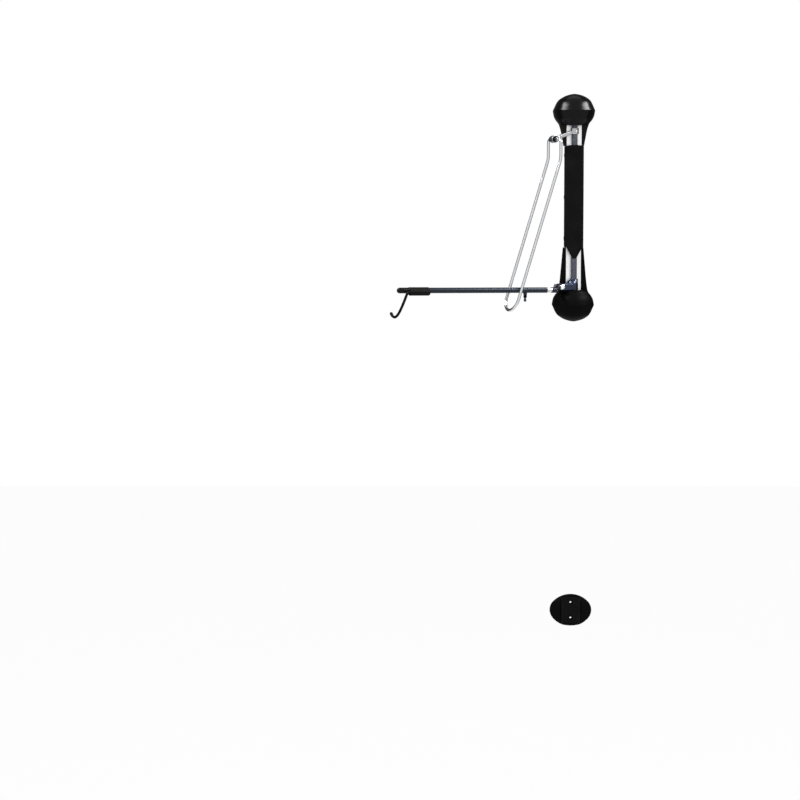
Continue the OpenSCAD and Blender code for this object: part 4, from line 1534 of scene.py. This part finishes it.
    def front_cover(self) -> bpy.types.Object:
        """Models the cover.

        Returns:
            A folded channel with round front corners, an arched top, a pointed lower end and two ribs.
        """
        half, front, back, wall = self.cover_half, self.cover_front, self.cover_back, self.cover_wall
        corner, top = self.cover_corner, self.cover_top
        turns = [math.radians(-15.0 * step) for step in range(7)]
        outer, inner = (
            [(half - corner + size * math.cos(a), front + corner + size * math.sin(a)) for a in turns]
            for size in (corner, corner - wall)
        )
        channel = [(half, back), *outer, *[(-x, y) for x, y in outer[::-1]], (-half, back)]
        channel += [(wall - half, back), *[(-x, y) for x, y in inner]]
        channel += [*inner[::-1], (half - wall, back)]
        low, high = self.cover_tip - 0.5, top + 3.5
        cover = Bench.outline("dressed_front_cover", channel, high - low)
        Bench.turn_to(cover, "Z", (0.0, 0.0, low))
        rib = Bench.block("rib", (-half + 1.0, front + 1.0, top - self.rib), (half - 1.0, back, top))
        down = self.cover_shoulder - (top - self.rib)
        for piece in (Bench.copy(rib, Matrix.Translation((0.0, 0.0, down * MM))), rib):
            Bench.cut(cover, piece, "UNION")
        shares = [1 - step / 8 for step in range(17)]
        arch = [(half * share, top + self.cover_arch * (1 - share**2)) for share in shares]
        wide, narrow = self.tip_halves
        left = [(-half, self.cover_shoulder), (-wide, self.cover_shoulder), (-narrow, self.cover_tip)]
        tip = [*left, *[(-x, z) for x, z in left[::-1]]]
        outline = round_off([(half, 0.0), *arch, *tip, (half, -1.0)], 1.6, 4)
        face = Bench.outline("face", outline, 80.0)
        Bench.cut(cover, Bench.turn_to(face, "FRONT"), "INTERSECT")
        below, above = self.cover_tip - 2.0, top + 5.0
        Bench.cut(cover, self.wall_slot(below, above))
        Bench.bore(cover, self.tube_room, (0.0, -AXIS_OFF, below), (0.0, -AXIS_OFF, above))
        for height in self.rivet_heights:
            left, right = (-30.0, self.screw_y, height), (30.0, self.screw_y, height)
            Bench.bore(cover, self.rivet_hole, left, right)
        Bench.soften(cover, 0.55, 2)
        return cover


@dataclass
class TyreRest:
    """The oval pad lower on the wall and the liner in its groove."""

    fitter: Fitter
    height: float = -1128.0
    # The oval's small arcs at its sides and its flatter arcs above and below, which meet at an angle
    depth: float = 27.0
    end_radius: float = 34.0
    end_x: float = 24.6
    flank_radius: float = 68.07
    flank_drop: float = 23.57
    meeting: float = math.radians(43.77)
    # The crowned face and the groove in it
    crown_radius: float = 90.0
    crown_y: float = 62.0
    groove_radius: float = 42.0
    groove_y: float = -49.32
    # The liner's half width at its back and at its front, and its ribs
    liner_halves: Point2 = (27.0, 26.6)
    liner_radius: float = 39.5
    liner_length: float = 72.0
    rib_radius: float = 38.7
    # The two screws
    screw_height: float = 22.0
    screw_hole: float = 2.75
    head_room: float = 6.5

    def build(self) -> None:
        """Builds and dresses the pad and its liner."""
        self.fitter.fit(self.tyre_rest(), "tyre_rest", Finish.SCUFFED)
        self.fitter.fit(self.rest_liner(), "rest_liner", Finish.RUBBER)

    def bore_screws(self, piece: bpy.types.Object, radius: float) -> None:
        """Bores both screw holes.

        Args:
            piece: the piece, with the pad's middle at the origin.
            radius: the holes' radius.
        """
        for height in (-self.screw_height, self.screw_height):
            Bench.bore(piece, radius, (0.0, -30.0, height), (0.0, 3.0, height))

    def tyre_rest(self) -> bpy.types.Object:
        """Models the oval pad.

        Returns:
            An oval with a crowned face, an upright groove, two screw holes and soft rims.
        """
        swing, small, large = self.meeting, self.end_radius, self.flank_radius
        ends = [swing * (step / 10 - 1) for step in range(21)]
        end = [(self.end_x + small * math.cos(a), small * math.sin(a)) for a in ends]
        sides = [swing + (math.pi - 2 * swing) * step / 14 for step in range(1, 14)]
        flank = [(large * math.cos(a), large * math.sin(a) - self.flank_drop) for a in sides]
        oval = [*end, *flank, *[(-x, -y) for x, y in end], *[(-x, -y) for x, y in flank]]
        rest = Bench.outline("dressed_tyre_rest", oval, self.depth)
        Bench.turn_to(rest, "FRONT")
        bows = [math.radians(degrees) for degrees in (0.6, *range(3, 61, 3))]
        face = [(self.crown_radius * math.sin(a), -self.crown_radius * math.cos(a)) for a in bows]
        crown = Bench.turned("crown", face, 96)
        Bench.turn_to(crown, "Y", (0.0, self.crown_y, 0.0))
        Bench.cut(rest, crown, "INTERSECT")
        low, high = (0.0, self.groove_y, -50.0), (0.0, self.groove_y, 50.0)
        Bench.cut(rest, Bench.rod("groove", self.groove_radius, low, high, 128))
        Bench.soften(rest, 1.1, 3, 30.0)
        self.bore_screws(rest, self.screw_hole)
        return Bench.turn_to(rest, "Z", (0.0, 0.0, self.height))

    def rest_liner(self) -> bpy.types.Object:
        """Models the liner in the pad's groove.

        Returns:
            A curved strip of rubber with upright ribs and two clearance holes.
        """
        back_half, front_half = self.liner_halves
        radius, valley, crest = self.groove_radius, self.liner_radius, self.rib_radius
        span, reach = math.asin(back_half / radius), math.asin(front_half / valley)
        turns = [span * step / 12 for step in range(12, -13, -1)]
        back = [(radius * math.sin(a), radius * math.cos(a)) for a in turns]
        front: list[Point2] = []
        for rib in range(-11, 12):
            for offset, size in ((-0.42, valley), (-0.18, crest), (0.18, crest), (0.42, valley)):
                angle = reach * (rib + offset) / 11.5
                front.append((size * math.sin(angle), size * math.cos(angle)))
        liner = Bench.outline("dressed_rest_liner", [*back, *front], self.liner_length)
        Bench.turn_to(liner, "Z", (0.0, self.groove_y, -self.liner_length / 2))
        Bench.soften(liner, 0.2, 1, 40.0)
        self.bore_screws(liner, self.head_room)
        return Bench.turn_to(liner, "Z", (0.0, 0.0, self.height))


@dataclass
class Swivel:
    """What turns about the upright axis: the tube, its collars, the link and the clevis."""

    fitter: Fitter
    # The long tube and the grooves for its rings
    tube_radius: float = 8.0
    tube_bore: float = 6.0
    tube_half: float = 245.9
    tube_chamfer: float = 0.5
    ring_z: float = 239.9
    ring_half: float = 0.7
    groove_radius: float = 7.3
    # The two collars: their pins' heights, their lower and upper faces and their rims
    pin_heights: Point2 = (210.5, -199.0)
    collar_radius: float = 11.0
    collar_rim: float = 1.4
    top_span: Point2 = (202.0, 219.0)
    low_span: Point2 = (-228.7, -194.0)
    # The link's bar and its eye
    link_start: Point2 = (6.0, 209.0)
    link_half: float = 5.0
    link_depth: float = 8.0
    eye_radius: float = 10.0
    eye_half: float = 8.0
    eye_bore: float = 7.83
    # The clevis: its knuckle, its ears and the web between them
    knuckle_radius: float = 16.0
    knuckle_middle: float = 5.0
    knuckle_span: Point2 = (-225.0, -211.0)
    knuckle_dome: float = 16.2
    ear_radius: float = 9.0
    ear_root: float = 10.0
    ear_depth: float = 6.0
    ear_outside: float = 15.0
    web_span: Point2 = (8.7, 34.7)
    web_half: float = 9.6
    web_step: float = 0.3
    # The hinge's pin and nut
    hinge_radius: float = 5.0
    pin_side: tuple[Point2, ...] = (
        (4.3, -23.5), (5.0, -22.8), (5.0, 15.0), (6.9, 15.0), (7.3, 15.4), (7.3, 15.9), (7.0, 16.8),
        (6.3, 17.7), (5.3, 18.4), (4.2, 18.85), (3.4, 19.0),
    )
    pin_socket: tuple[Point2, ...] = ((3.0, 16.6), (3.0, 20.0))
    nut_side: tuple[Point2, ...] = ((9.25, -22.0), (9.25, -15.0))
    nut_corners: tuple[Point2, ...] = ((8.1, -22.0), (9.3, -21.2), (9.3, -15.8), (8.1, -15.0))

    def build(self) -> None:
        """Builds and dresses the swivel's pieces."""
        self.fitter.keep(Finish.STEEL, "retaining_rings")
        self.fitter.keep(Finish.MATT, "tube_plugs")
        self.fitter.keep(Finish.NYLON, "link_bush", "hinge_washers")
        self.fitter.keep(Finish.ZINC, "collar_pins")
        self.fitter.fit(self.pivot_tube(), "pivot_tube", Finish.STEEL, Place.SWING)
        self.fitter.fit(self.top_collar(), "top_collar", Finish.SATIN, Place.SWING)
        self.fitter.fit(self.hanger_link(), "hanger_link", Finish.SATIN, Place.SWING)
        self.fitter.fit(self.arm_clevis(), "arm_clevis", Finish.DARK_METAL, Place.SWING)
        self.fitter.fit(self.hinge_pin(), "hinge_pin", Finish.ZINC, Place.HINGE)
        self.fitter.fit(self.hinge_nut(), "hinge_nut", Finish.ZINC, Place.HINGE)

    def bore_pin(self, piece: bpy.types.Object, height: float) -> None:
        """Bores a cross pin's hole.

        Args:
            piece: the tube or a collar.
            height: the hole's height.
        """
        Bench.bore(piece, PIN_HOLE, (0.0, -PAST, height), (0.0, PAST, height))

    def pivot_tube(self) -> bpy.types.Object:
        """Models the long tube.

        Returns:
            A tube with chamfered ends, two ring grooves and two pin holes.
        """
        radius, bore, half = self.tube_radius, self.tube_bore, self.tube_half
        chamfer, groove = self.tube_chamfer, self.groove_radius
        side: list[Point2] = [(radius - chamfer, -half), (radius, chamfer - half)]
        for height in (-self.ring_z, self.ring_z):
            low, high = height - self.ring_half, height + self.ring_half
            side += [(radius, low), (groove, low), (groove, high), (radius, high)]
        side += [(radius, half - chamfer), (radius - chamfer, half), (bore, half), (bore, -half)]
        tube = Bench.turned("dressed_pivot_tube", side, 64, ring=True)
        for height in self.pin_heights:
            self.bore_pin(tube, height)
        return tube

    def top_collar(self) -> bpy.types.Object:
        """Models the upper collar.

        Returns:
            A collar with rounded rims and a pin hole.
        """
        bore = self.tube_radius + CLEAR
        rims = sleeve_profile(self.collar_radius, bore, *self.top_span, self.collar_rim)
        collar = Bench.turned("dressed_top_collar", rims, 96, ring=True)
        self.bore_pin(collar, self.pin_heights[0])
        return collar

    def hanger_link(self) -> bpy.types.Object:
        """Models the link.

        Returns:
            A bar with rounded edges, fitted round the collar, and its eye.
        """
        start, end = Vector(self.link_start), Vector((LOOP_A, LOOP_Z))
        lift = (end - start).orthogonal().normalized() * self.link_half
        corners = [start - lift, end - lift, end + lift, start + lift]
        bar = Bench.outline("dressed_hanger_link", [(p.x, p.y) for p in corners], self.link_depth)
        Bench.turn_to(bar, "FRONT", (0.0, self.link_depth / 2, 0.0))
        Bench.soften(bar, 1.6, 4, 60.0)
        side = barrel_profile(self.eye_radius, -self.eye_half, self.eye_half, (1.2, 1.2))
        eye = Bench.turn_to(Bench.turned("eye", side, 64), "Y", (LOOP_A, 0.0, LOOP_Z))
        Bench.cut(bar, eye, "UNION")
        Bench.bore(bar, self.eye_bore, (LOOP_A, -12.0, LOOP_Z), (LOOP_A, 12.0, LOOP_Z))
        low, high = (0.0, 0.0, 195.0), (0.0, 0.0, 230.0)
        Bench.cut(bar, Bench.rod("collar_seat", self.collar_radius + SEATED, low, high, 96))
        return bar

    def arm_clevis(self) -> bpy.types.Object:
        """Models the clevis.

        Returns:
            The lower collar, its round knuckle, the two ears and the stop web between them.
        """
        collar = barrel_profile(self.collar_radius, *self.low_span, (self.collar_rim, self.collar_rim))
        clevis = Bench.turned("dressed_arm_clevis", collar, 96)
        size, dome_height, (low, high) = self.knuckle_radius, self.knuckle_dome, self.knuckle_span
        arc = [math.radians(7.5 * step) for step in range(12)]
        dome = [(size * math.cos(a), high + dome_height * math.sin(a)) for a in arc]
        foot = round_end(size, self.collar_rim, low, -1)
        knuckle = Bench.turned("knuckle", [*foot, *dome], 96)
        Bench.turn_to(knuckle, "Z", (self.knuckle_middle, 0.0, 0.0))
        radius, root = self.ear_radius, self.ear_root
        turns = [math.radians(-90.0 + 10.0 * step) for step in range(19)]
        nose = [(HINGE_A + radius * math.cos(a), HINGE_Z + radius * math.sin(a)) for a in turns]
        shape = [(root, HINGE_Z - radius), *nose, (root, HINGE_Z + radius)]
        ear = Bench.outline("ear", shape, self.ear_depth)
        Bench.turn_to(ear, "FRONT", (0.0, self.ear_outside, 0.0))
        Bench.soften(ear, 1.9, 4, 60.0)
        across = self.ear_depth - 2 * self.ear_outside
        twin = Bench.copy(ear, Matrix.Translation((0.0, across * MM, 0.0)))
        start, end = self.web_span
        web = Bench.block(
            "web", (start, -self.web_half, HINGE_Z - radius + self.web_step),
            (end, self.web_half, HINGE_Z + radius - self.web_step),
        )
        for piece in (knuckle, ear, twin, web):
            Bench.cut(clevis, piece, "UNION")
        Bench.bore(clevis, self.tube_radius + CLEAR, (0.0, 0.0, -235.0), (0.0, 0.0, -190.0))
        left, right = (HINGE_A, -PAST, HINGE_Z), (HINGE_A, PAST, HINGE_Z)
        Bench.bore(clevis, self.hinge_radius + CLEAR, left, right)
        self.bore_pin(clevis, self.pin_heights[1])
        return clevis

    def hinge_pin(self) -> bpy.types.Object:
        """Models the hinge pin.

        Returns:
            A pin with a domed head and a hexagon socket.
        """
        pin = Bench.turned("dressed_hinge_pin", self.pin_side, 64)
        Bench.cut(pin, Bench.turned("socket", self.pin_socket, 6))
        return Bench.turn_to(pin, "Y")

    def hinge_nut(self) -> bpy.types.Object:
        """Models the nut.

        Returns:
            A bored hexagon with its corners turned off at both faces.
        """
        nut = Bench.turned("dressed_hinge_nut", self.nut_side, 6)
        Bench.place(nut, Matrix.Rotation(math.radians(30.0), 4, "Z"))
        Bench.cut(nut, Bench.turned("corners", self.nut_corners, 64), "INTERSECT")
        Bench.bore(nut, self.hinge_radius + CLEAR, (0.0, 0.0, -24.0), (0.0, 0.0, -13.0))
        return Bench.turn_to(nut, "Y")


@dataclass
class GuideLoop:
    """The hanging wire loop, the tube that closes it and its two collars."""

    fitter: Fitter
    # The wire: its two legs, the knee in each, and its bends
    wire_radius: float = 4.0
    wire_end: float = 6.0
    near_leg: float = 39.5
    far_leg: float = -29.5
    knee: float = -54.0
    leg_length: float = 434.0
    lean: float = math.radians(18.75)
    top_bend: float = 12.0
    knee_bend: float = 60.0
    low_bend: float = 34.0
    # The tube and the collars on it
    tube_radius: float = 6.2
    tube_span: Point2 = (-17.5, 27.5)
    collar_radius: float = 8.2
    collar_span: Point2 = (8.3, 14.3)
    grub_hole: float = 1.5

    def build(self) -> None:
        """Builds and dresses the loop's pieces."""
        self.fitter.fit(self.guide_loop(), "guide_loop", Finish.CHROME, Place.LOOP)
        self.fitter.fit(self.loop_tube(), "loop_pivot_tube", Finish.CHROME, Place.LOOP)
        self.fitter.fit(self.loop_collars(), "loop_collars", Finish.MATT, Place.LOOP)

    def guide_loop(self) -> bpy.types.Object:
        """Bends the wire.

        Returns:
            The wire: two legs with a knee each, closed by a round bow below.
        """
        out = self.leg_length * math.sin(self.lean)
        low = self.knee - self.leg_length * math.cos(self.lean)
        near, far = self.near_leg, self.far_leg
        corners = [
            (0.0, self.wire_end, 0.0), (0.0, near, 0.0), (0.0, near, self.knee), (out, near, low),
            (out, far, low), (0.0, far, self.knee), (0.0, far, 0.0), (0.0, -self.wire_end, 0.0),
        ]
        bends = (self.top_bend, self.knee_bend, self.low_bend)
        path = bent_path(corners, [*bends, *bends[::-1]])
        return Bench.wire("dressed_guide_loop", self.wire_radius, path, 32)

    def loop_tube(self) -> bpy.types.Object:
        """Models the tube that the wire's two ends meet in.

        Returns:
            The tube, along the loop's axis.
        """
        side = sleeve_profile(self.tube_radius, self.wire_radius + CLEAR, *self.tube_span, 0.6)
        return Bench.turn_to(Bench.turned("dressed_loop_tube", side, 64, ring=True), "Y")

    def loop_collars(self) -> bpy.types.Object:
        """Models the two set collars.

        Returns:
            One collar with its screw recess, and its copy on the eye's other side.
        """
        low, high = self.collar_span
        side = sleeve_profile(self.collar_radius, self.tube_radius + CLEAR, low, high, 0.8)
        collar = Bench.turned("dressed_loop_collars", side, 64, ring=True)
        middle = (low + high) / 2
        Bench.bore(collar, self.grub_hole, (7.0, 0.0, middle), (12.0, 0.0, middle))
        Bench.turn_to(collar, "Y")
        twin = Bench.copy(collar, Matrix.Translation((0.0, -(low + high) * MM, 0.0)))
        return Bench.join([collar, twin], collar.name)


@dataclass
class Arm:
    """The folding, telescoping arm with its clamp, sleeve, grip and hook."""

    fitter: Fitter
    # The root: its tongue, the neck's and the heel's faces, and its socket
    tongue_radius: float = 9.0
    tongue_half: float = 7.7
    neck_span: Point2 = (-9.0, -1.5)
    neck_end: float = 15.0
    heel_low: float = -6.5
    socket_span: Point2 = (26.0, 42.0)
    bush_radius: float = 7.0
    root_pin_x: float = 34.0
    # The telescope's two tubes
    inner_radius: float = 6.2
    inner_bore: float = 4.8
    inner_span: Point2 = (26.5, 236.0)
    arm_radius: float = 7.5
    arm_bore: float = 6.27
    tube_start: float = 58.0
    tube_end: float = 478.0
    ring_width: float = 4.0
    # The clamp's place, its boss, its screw with a ball end, and its grip
    clamp_x: float = 124.0
    boss_side: tuple[Point2, ...] = ((5.3, -12.0), (6.0, -11.5), (6.0, -5.5))
    screw_radius: float = 3.0
    thread_root: float = 2.72
    thread_pitch: float = 1.1
    ball_radius: float = 3.9
    ball_z: float = -27.7
    clamp_hole: float = 3.2
    knob_radius: float = 4.7
    knob_span: Point2 = (-20.3, -12.3)
    flutes: int = 10
    # The sleeve, the grip and the hook with its dipped tip
    sleeve_length: float = 60.0
    lower_barrel: Point3 = (0.0, 5.0, -4.0)
    shank: Point2 = (10.7, -4.0)
    shank_bore: float = 3.33
    grip_radius: float = 7.8
    grip_end: float = 504.2
    plug: tuple[Point2, ...] = (
        (5.6, 462.0), (6.24, 462.7), (6.24, 478.0), (7.2, 478.0), (7.8, 478.6), (7.8, 504.2),
    )
    hook_radius: float = 3.6
    hook: tuple[Point3, ...] = (
        (2.0, 0.0, 0.0), (7.0, 0.0, -2.0), (11.0, -0.5, -9.0), (16.5, -3.5, -26.0),
        (21.5, -10.0, -44.0), (24.5, -22.0, -60.0), (25.5, -38.0, -68.0), (25.0, -54.0, -66.0),
        (24.0, -62.0, -62.0),
    )
    tip_radius: float = 4.3
    tip_skirt: tuple[Point2, ...] = ((3.4, -9.0), (3.9, -8.4), (4.2, -6.0))

    def build(self) -> None:
        """Builds and dresses the arm's pieces."""
        self.fitter.keep(Finish.BRONZE, "hinge_bush")
        self.fitter.keep(Finish.ZINC, "root_pin")
        self.fitter.fit(self.arm_root(), "arm_root", Finish.SLATE, Place.HINGE)
        self.fitter.fit(self.inner_tube(), "inner_tube", Finish.CHROME, Place.ARM)
        self.fitter.fit(self.arm_tube(), "arm_tube", Finish.SLATE, Place.ARM)
        self.fitter.fit(self.end_ring(), "end_ring", Finish.NYLON, Place.ARM)
        self.fitter.fit(self.clamp_boss(), "clamp_boss", Finish.SLATE, Place.ARM)
        self.fitter.fit(self.clamp_screw(), "clamp_screw", Finish.DARK_METAL, Place.ARM)
        self.fitter.fit(self.clamp_knob(), "clamp_knob", Finish.MATT, Place.ARM)
        self.fitter.fit(self.end_sleeve(), "end_sleeve", Finish.RUBBER, Place.ARM)
        self.fitter.fit(self.grip_tip(), "grip_tip", Finish.GLOSS, Place.ARM)
        self.fitter.fit(self.hook_rod(), "hook_rod", Finish.COATED, Place.ARM)
        self.fitter.fit(self.hook_tip(), "hook_tip", Finish.RUBBER, Place.ARM)

    def arm_root(self) -> bpy.types.Object:
        """Models the arm's root.

        Returns:
            A tongue with a heel, a forged dog-leg and the round socket.
        """
        half, radius, axis = self.tongue_half, self.arm_radius, (ARM_B, -ARM_DROP)
        tongue = barrel_profile(self.tongue_radius, -half, half, (0.8, 0.8))
        root = Bench.turn_to(Bench.turned("dressed_arm_root", tongue, 64), "Y")
        low, high = self.neck_span
        heel = Bench.block("heel", (-self.tongue_radius, -half, self.heel_low), (0.0, half, 0.0))
        neck = Bench.block("neck", (0.0, -half, low), (self.neck_end, half, high))
        socket = Bench.turned("socket", barrel_profile(radius, *self.socket_span, (1.6, 0.6)), 48)
        Bench.turn_to(socket, "X", (0.0, *axis))
        start = Bench.block("start", (self.neck_end - 4.0, -half, low), (self.neck_end, half, high))
        end = Bench.rod("end", radius, (27.6, *axis), (35.0, *axis), 48)
        bend = Bench.wrap([start, end], "bend")
        for piece in (heel, neck):
            Bench.soften(piece, 0.7, 2, 60.0)
        Bench.soften(bend, 1.0, 3, 50.0)
        for piece in (heel, neck, bend, socket):
            Bench.cut(root, piece, "UNION")
        Bench.bore(root, self.bush_radius + CLEAR, (0.0, -12.0, 0.0), (0.0, 12.0, 0.0))
        Bench.bore(root, self.inner_radius + CLEAR, (26.2, *axis), (45.0, *axis))
        Bench.bore(root, PIN_HOLE, (self.root_pin_x, ARM_B, -PAST), (self.root_pin_x, ARM_B, 5.0))
        return root

    def inner_tube(self) -> bpy.types.Object:
        """Models the telescope's inner tube.

        Returns:
            The tube, with its pin hole.
        """
        side = sleeve_profile(self.inner_radius, self.inner_bore, *self.inner_span, 0.4)
        tube = Bench.turn_to(Bench.turned("dressed_inner_tube", side, 64, ring=True), "X")
        Bench.bore(tube, PIN_HOLE, (self.root_pin_x, 0.0, -10.0), (self.root_pin_x, 0.0, 10.0))
        return tube

    def arm_tube(self) -> bpy.types.Object:
        """Models the telescope's outer tube.

        Returns:
            The tube, with the hole for the clamp screw below.
        """
        side = sleeve_profile(self.arm_radius, self.arm_bore, self.tube_start, self.tube_end, 0.5)
        tube = Bench.turn_to(Bench.turned("dressed_arm_tube", side, 64, ring=True), "X")
        Bench.bore(tube, self.clamp_hole, (self.clamp_x, 0.0, -10.0), (self.clamp_x, 0.0, -2.0))
        return tube

    def end_ring(self) -> bpy.types.Object:
        """Models the guide ring at the outer tube's inner end.

        Returns:
            A ring with round outer rims.
        """
        low, high = self.tube_start - self.ring_width, self.tube_start
        side = sleeve_profile(self.arm_radius, self.arm_bore, low, high, 0.9)
        return Bench.turn_to(Bench.turned("dressed_end_ring", side, 64, ring=True), "X")

    def clamp_boss(self) -> bpy.types.Object:
        """Models the clamp's boss.

        Returns:
            A bored hexagon, saddled onto the tube.
        """
        x = self.clamp_x
        boss = Bench.turned("dressed_clamp_boss", self.boss_side, 6)
        Bench.place(boss, Matrix.Translation((x * MM, 0.0, 0.0)) @ Matrix.Rotation(math.pi / 6, 4, "Z"))
        behind, ahead = (x - 10.0, 0.0, 0.0), (x + 10.0, 0.0, 0.0)
        Bench.cut(boss, Bench.rod("saddle", self.arm_radius + SEATED, behind, ahead, 64))
        Bench.bore(boss, self.screw_radius + CLEAR, (x, 0.0, -14.0), (x, 0.0, 0.0))
        return boss

    def clamp_screw(self) -> bpy.types.Object:
        """Models the clamp's screw.

        Returns:
            A shank with a ring-cut thread that ends in a ball.
        """
        size, radius, root = self.ball_radius, self.screw_radius, self.thread_root
        turns = [math.radians(degrees) for degrees in (4, *range(14, 130, 9))]
        side = [(size * math.sin(a), self.ball_z - size * math.cos(a)) for a in turns]
        side.append((radius, -25.0))
        for turn in range(12):
            rise = self.thread_pitch * turn
            side += [(radius, -23.6 + rise), (root, -23.15 + rise)]
        side += [(radius, -10.2), (radius, -6.8), (2.5, -6.3)]
        screw = Bench.turned("dressed_clamp_screw", side, 48)
        return Bench.turn_to(screw, "Z", (self.clamp_x, 0.0, 0.0))

    def clamp_knob(self) -> bpy.types.Object:
        """Models the clamp's grip.

        Returns:
            A round grip with flutes cut into its side.
        """
        side = sleeve_profile(self.knob_radius, self.screw_radius + CLEAR, *self.knob_span, 0.7)
        knob = Bench.turned("dressed_clamp_knob", side, 60, ring=True)
        flute = Bench.rod("flute", 0.8, (5.05, 0.0, -21.0), (5.05, 0.0, -11.0), 16)
        turns = [math.radians(360.0 / self.flutes * step) for step in range(1, self.flutes)]
        others = [Bench.copy(flute, Matrix.Rotation(turn, 4, "Z")) for turn in turns]
        Bench.cut(knob, Bench.join([flute, *others], "flutes"))
        return Bench.turn_to(knob, "Z", (self.clamp_x, 0.0, 0.0))

    def end_sleeve(self) -> bpy.types.Object:
        """Models the rubber sleeve.

        Returns:
            One skin round the tube's barrel and the hook's barrel, with both bores.
        """
        start, end = self.tube_end - self.sleeve_length, self.tube_end
        upper = Bench.turned("upper", barrel_profile(8.8, start, end, (2.2, 1.2)), 64)
        Bench.turn_to(upper, "X")
        lower = Bench.turned("lower", barrel_profile(9.7, start, end, (3.4, 1.6)), 64)
        Bench.turn_to(lower, "X", self.lower_barrel)
        sleeve = Bench.wrap([upper, lower], "dressed_end_sleeve")
        before, beyond = start - 2.0, end + 2.0
        Bench.bore(sleeve, self.arm_radius + CLEAR, (before, 0.0, 0.0), (beyond, 0.0, 0.0))
        Bench.bore(sleeve, self.shank_bore, (before, *self.shank), (beyond, *self.shank))
        return sleeve

    def grip_tip(self) -> bpy.types.Object:
        """Models the grip.

        Returns:
            A plug, a shoulder and a smooth round nose.
        """
        radius, turns = self.grip_radius, [math.radians(9.5 * step) for step in range(1, 9)]
        nose = [(radius * math.cos(a), self.grip_end + radius * math.sin(a)) for a in turns]
        grip = Bench.turned("dressed_grip_tip", [*self.plug, *nose, (0.9, self.grip_end + radius)], 64)
        return Bench.turn_to(grip, "X")

    def hook_line(self) -> list[Vector]:
        """Gives the hook's middle line.

        Returns:
            Its points, from inside the sleeve to the hook's end.
        """
        root = Vector((self.tube_end, *self.shank))
        return [root - Vector((50.0, 0.0, 0.0)), *[root + point for point in smooth_path(self.hook, 6)]]

    def hook_rod(self) -> bpy.types.Object:
        """Bends the hook: down, then in under the arm's end and up a little at its tip."""
        return Bench.wire("dressed_hook_rod", self.hook_radius, self.hook_line(), 24)

    def hook_tip(self) -> bpy.types.Object:
        """Models the tip that is dipped over the hook's end.

        Returns:
            The tip, with a round nose and a thin skirt.
        """
        line = self.hook_line()
        along = (line[-1] - line[-2]).normalized()
        radius, turns = self.tip_radius, [math.radians(10.0 * step) for step in range(9)]
        nose = [(radius * math.cos(a), radius * math.sin(a)) for a in turns]
        tip = Bench.turned("dressed_hook_tip", [*self.tip_skirt, *nose, (0.4, radius)], 32)
        turn = along.to_track_quat("Z", "Y").to_matrix().to_4x4()
        return Bench.place(tip, Matrix.Translation((line[-1] + along * 4.5) * MM) @ turn)


def main() -> None:
    """Loads the frame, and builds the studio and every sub-assembly."""
    logging.basicConfig(level=logging.INFO, format="%(name)s %(message)s")
    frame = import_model()
    Studio().build()
    fitter = Fitter(frame, Palette())
    for kind in (WallUnit, TyreRest, Swivel, GuideLoop, Arm):
        LOG.info("building %s", kind.__name__)
        kind(fitter).build()


if __name__ == "__main__":
    main()
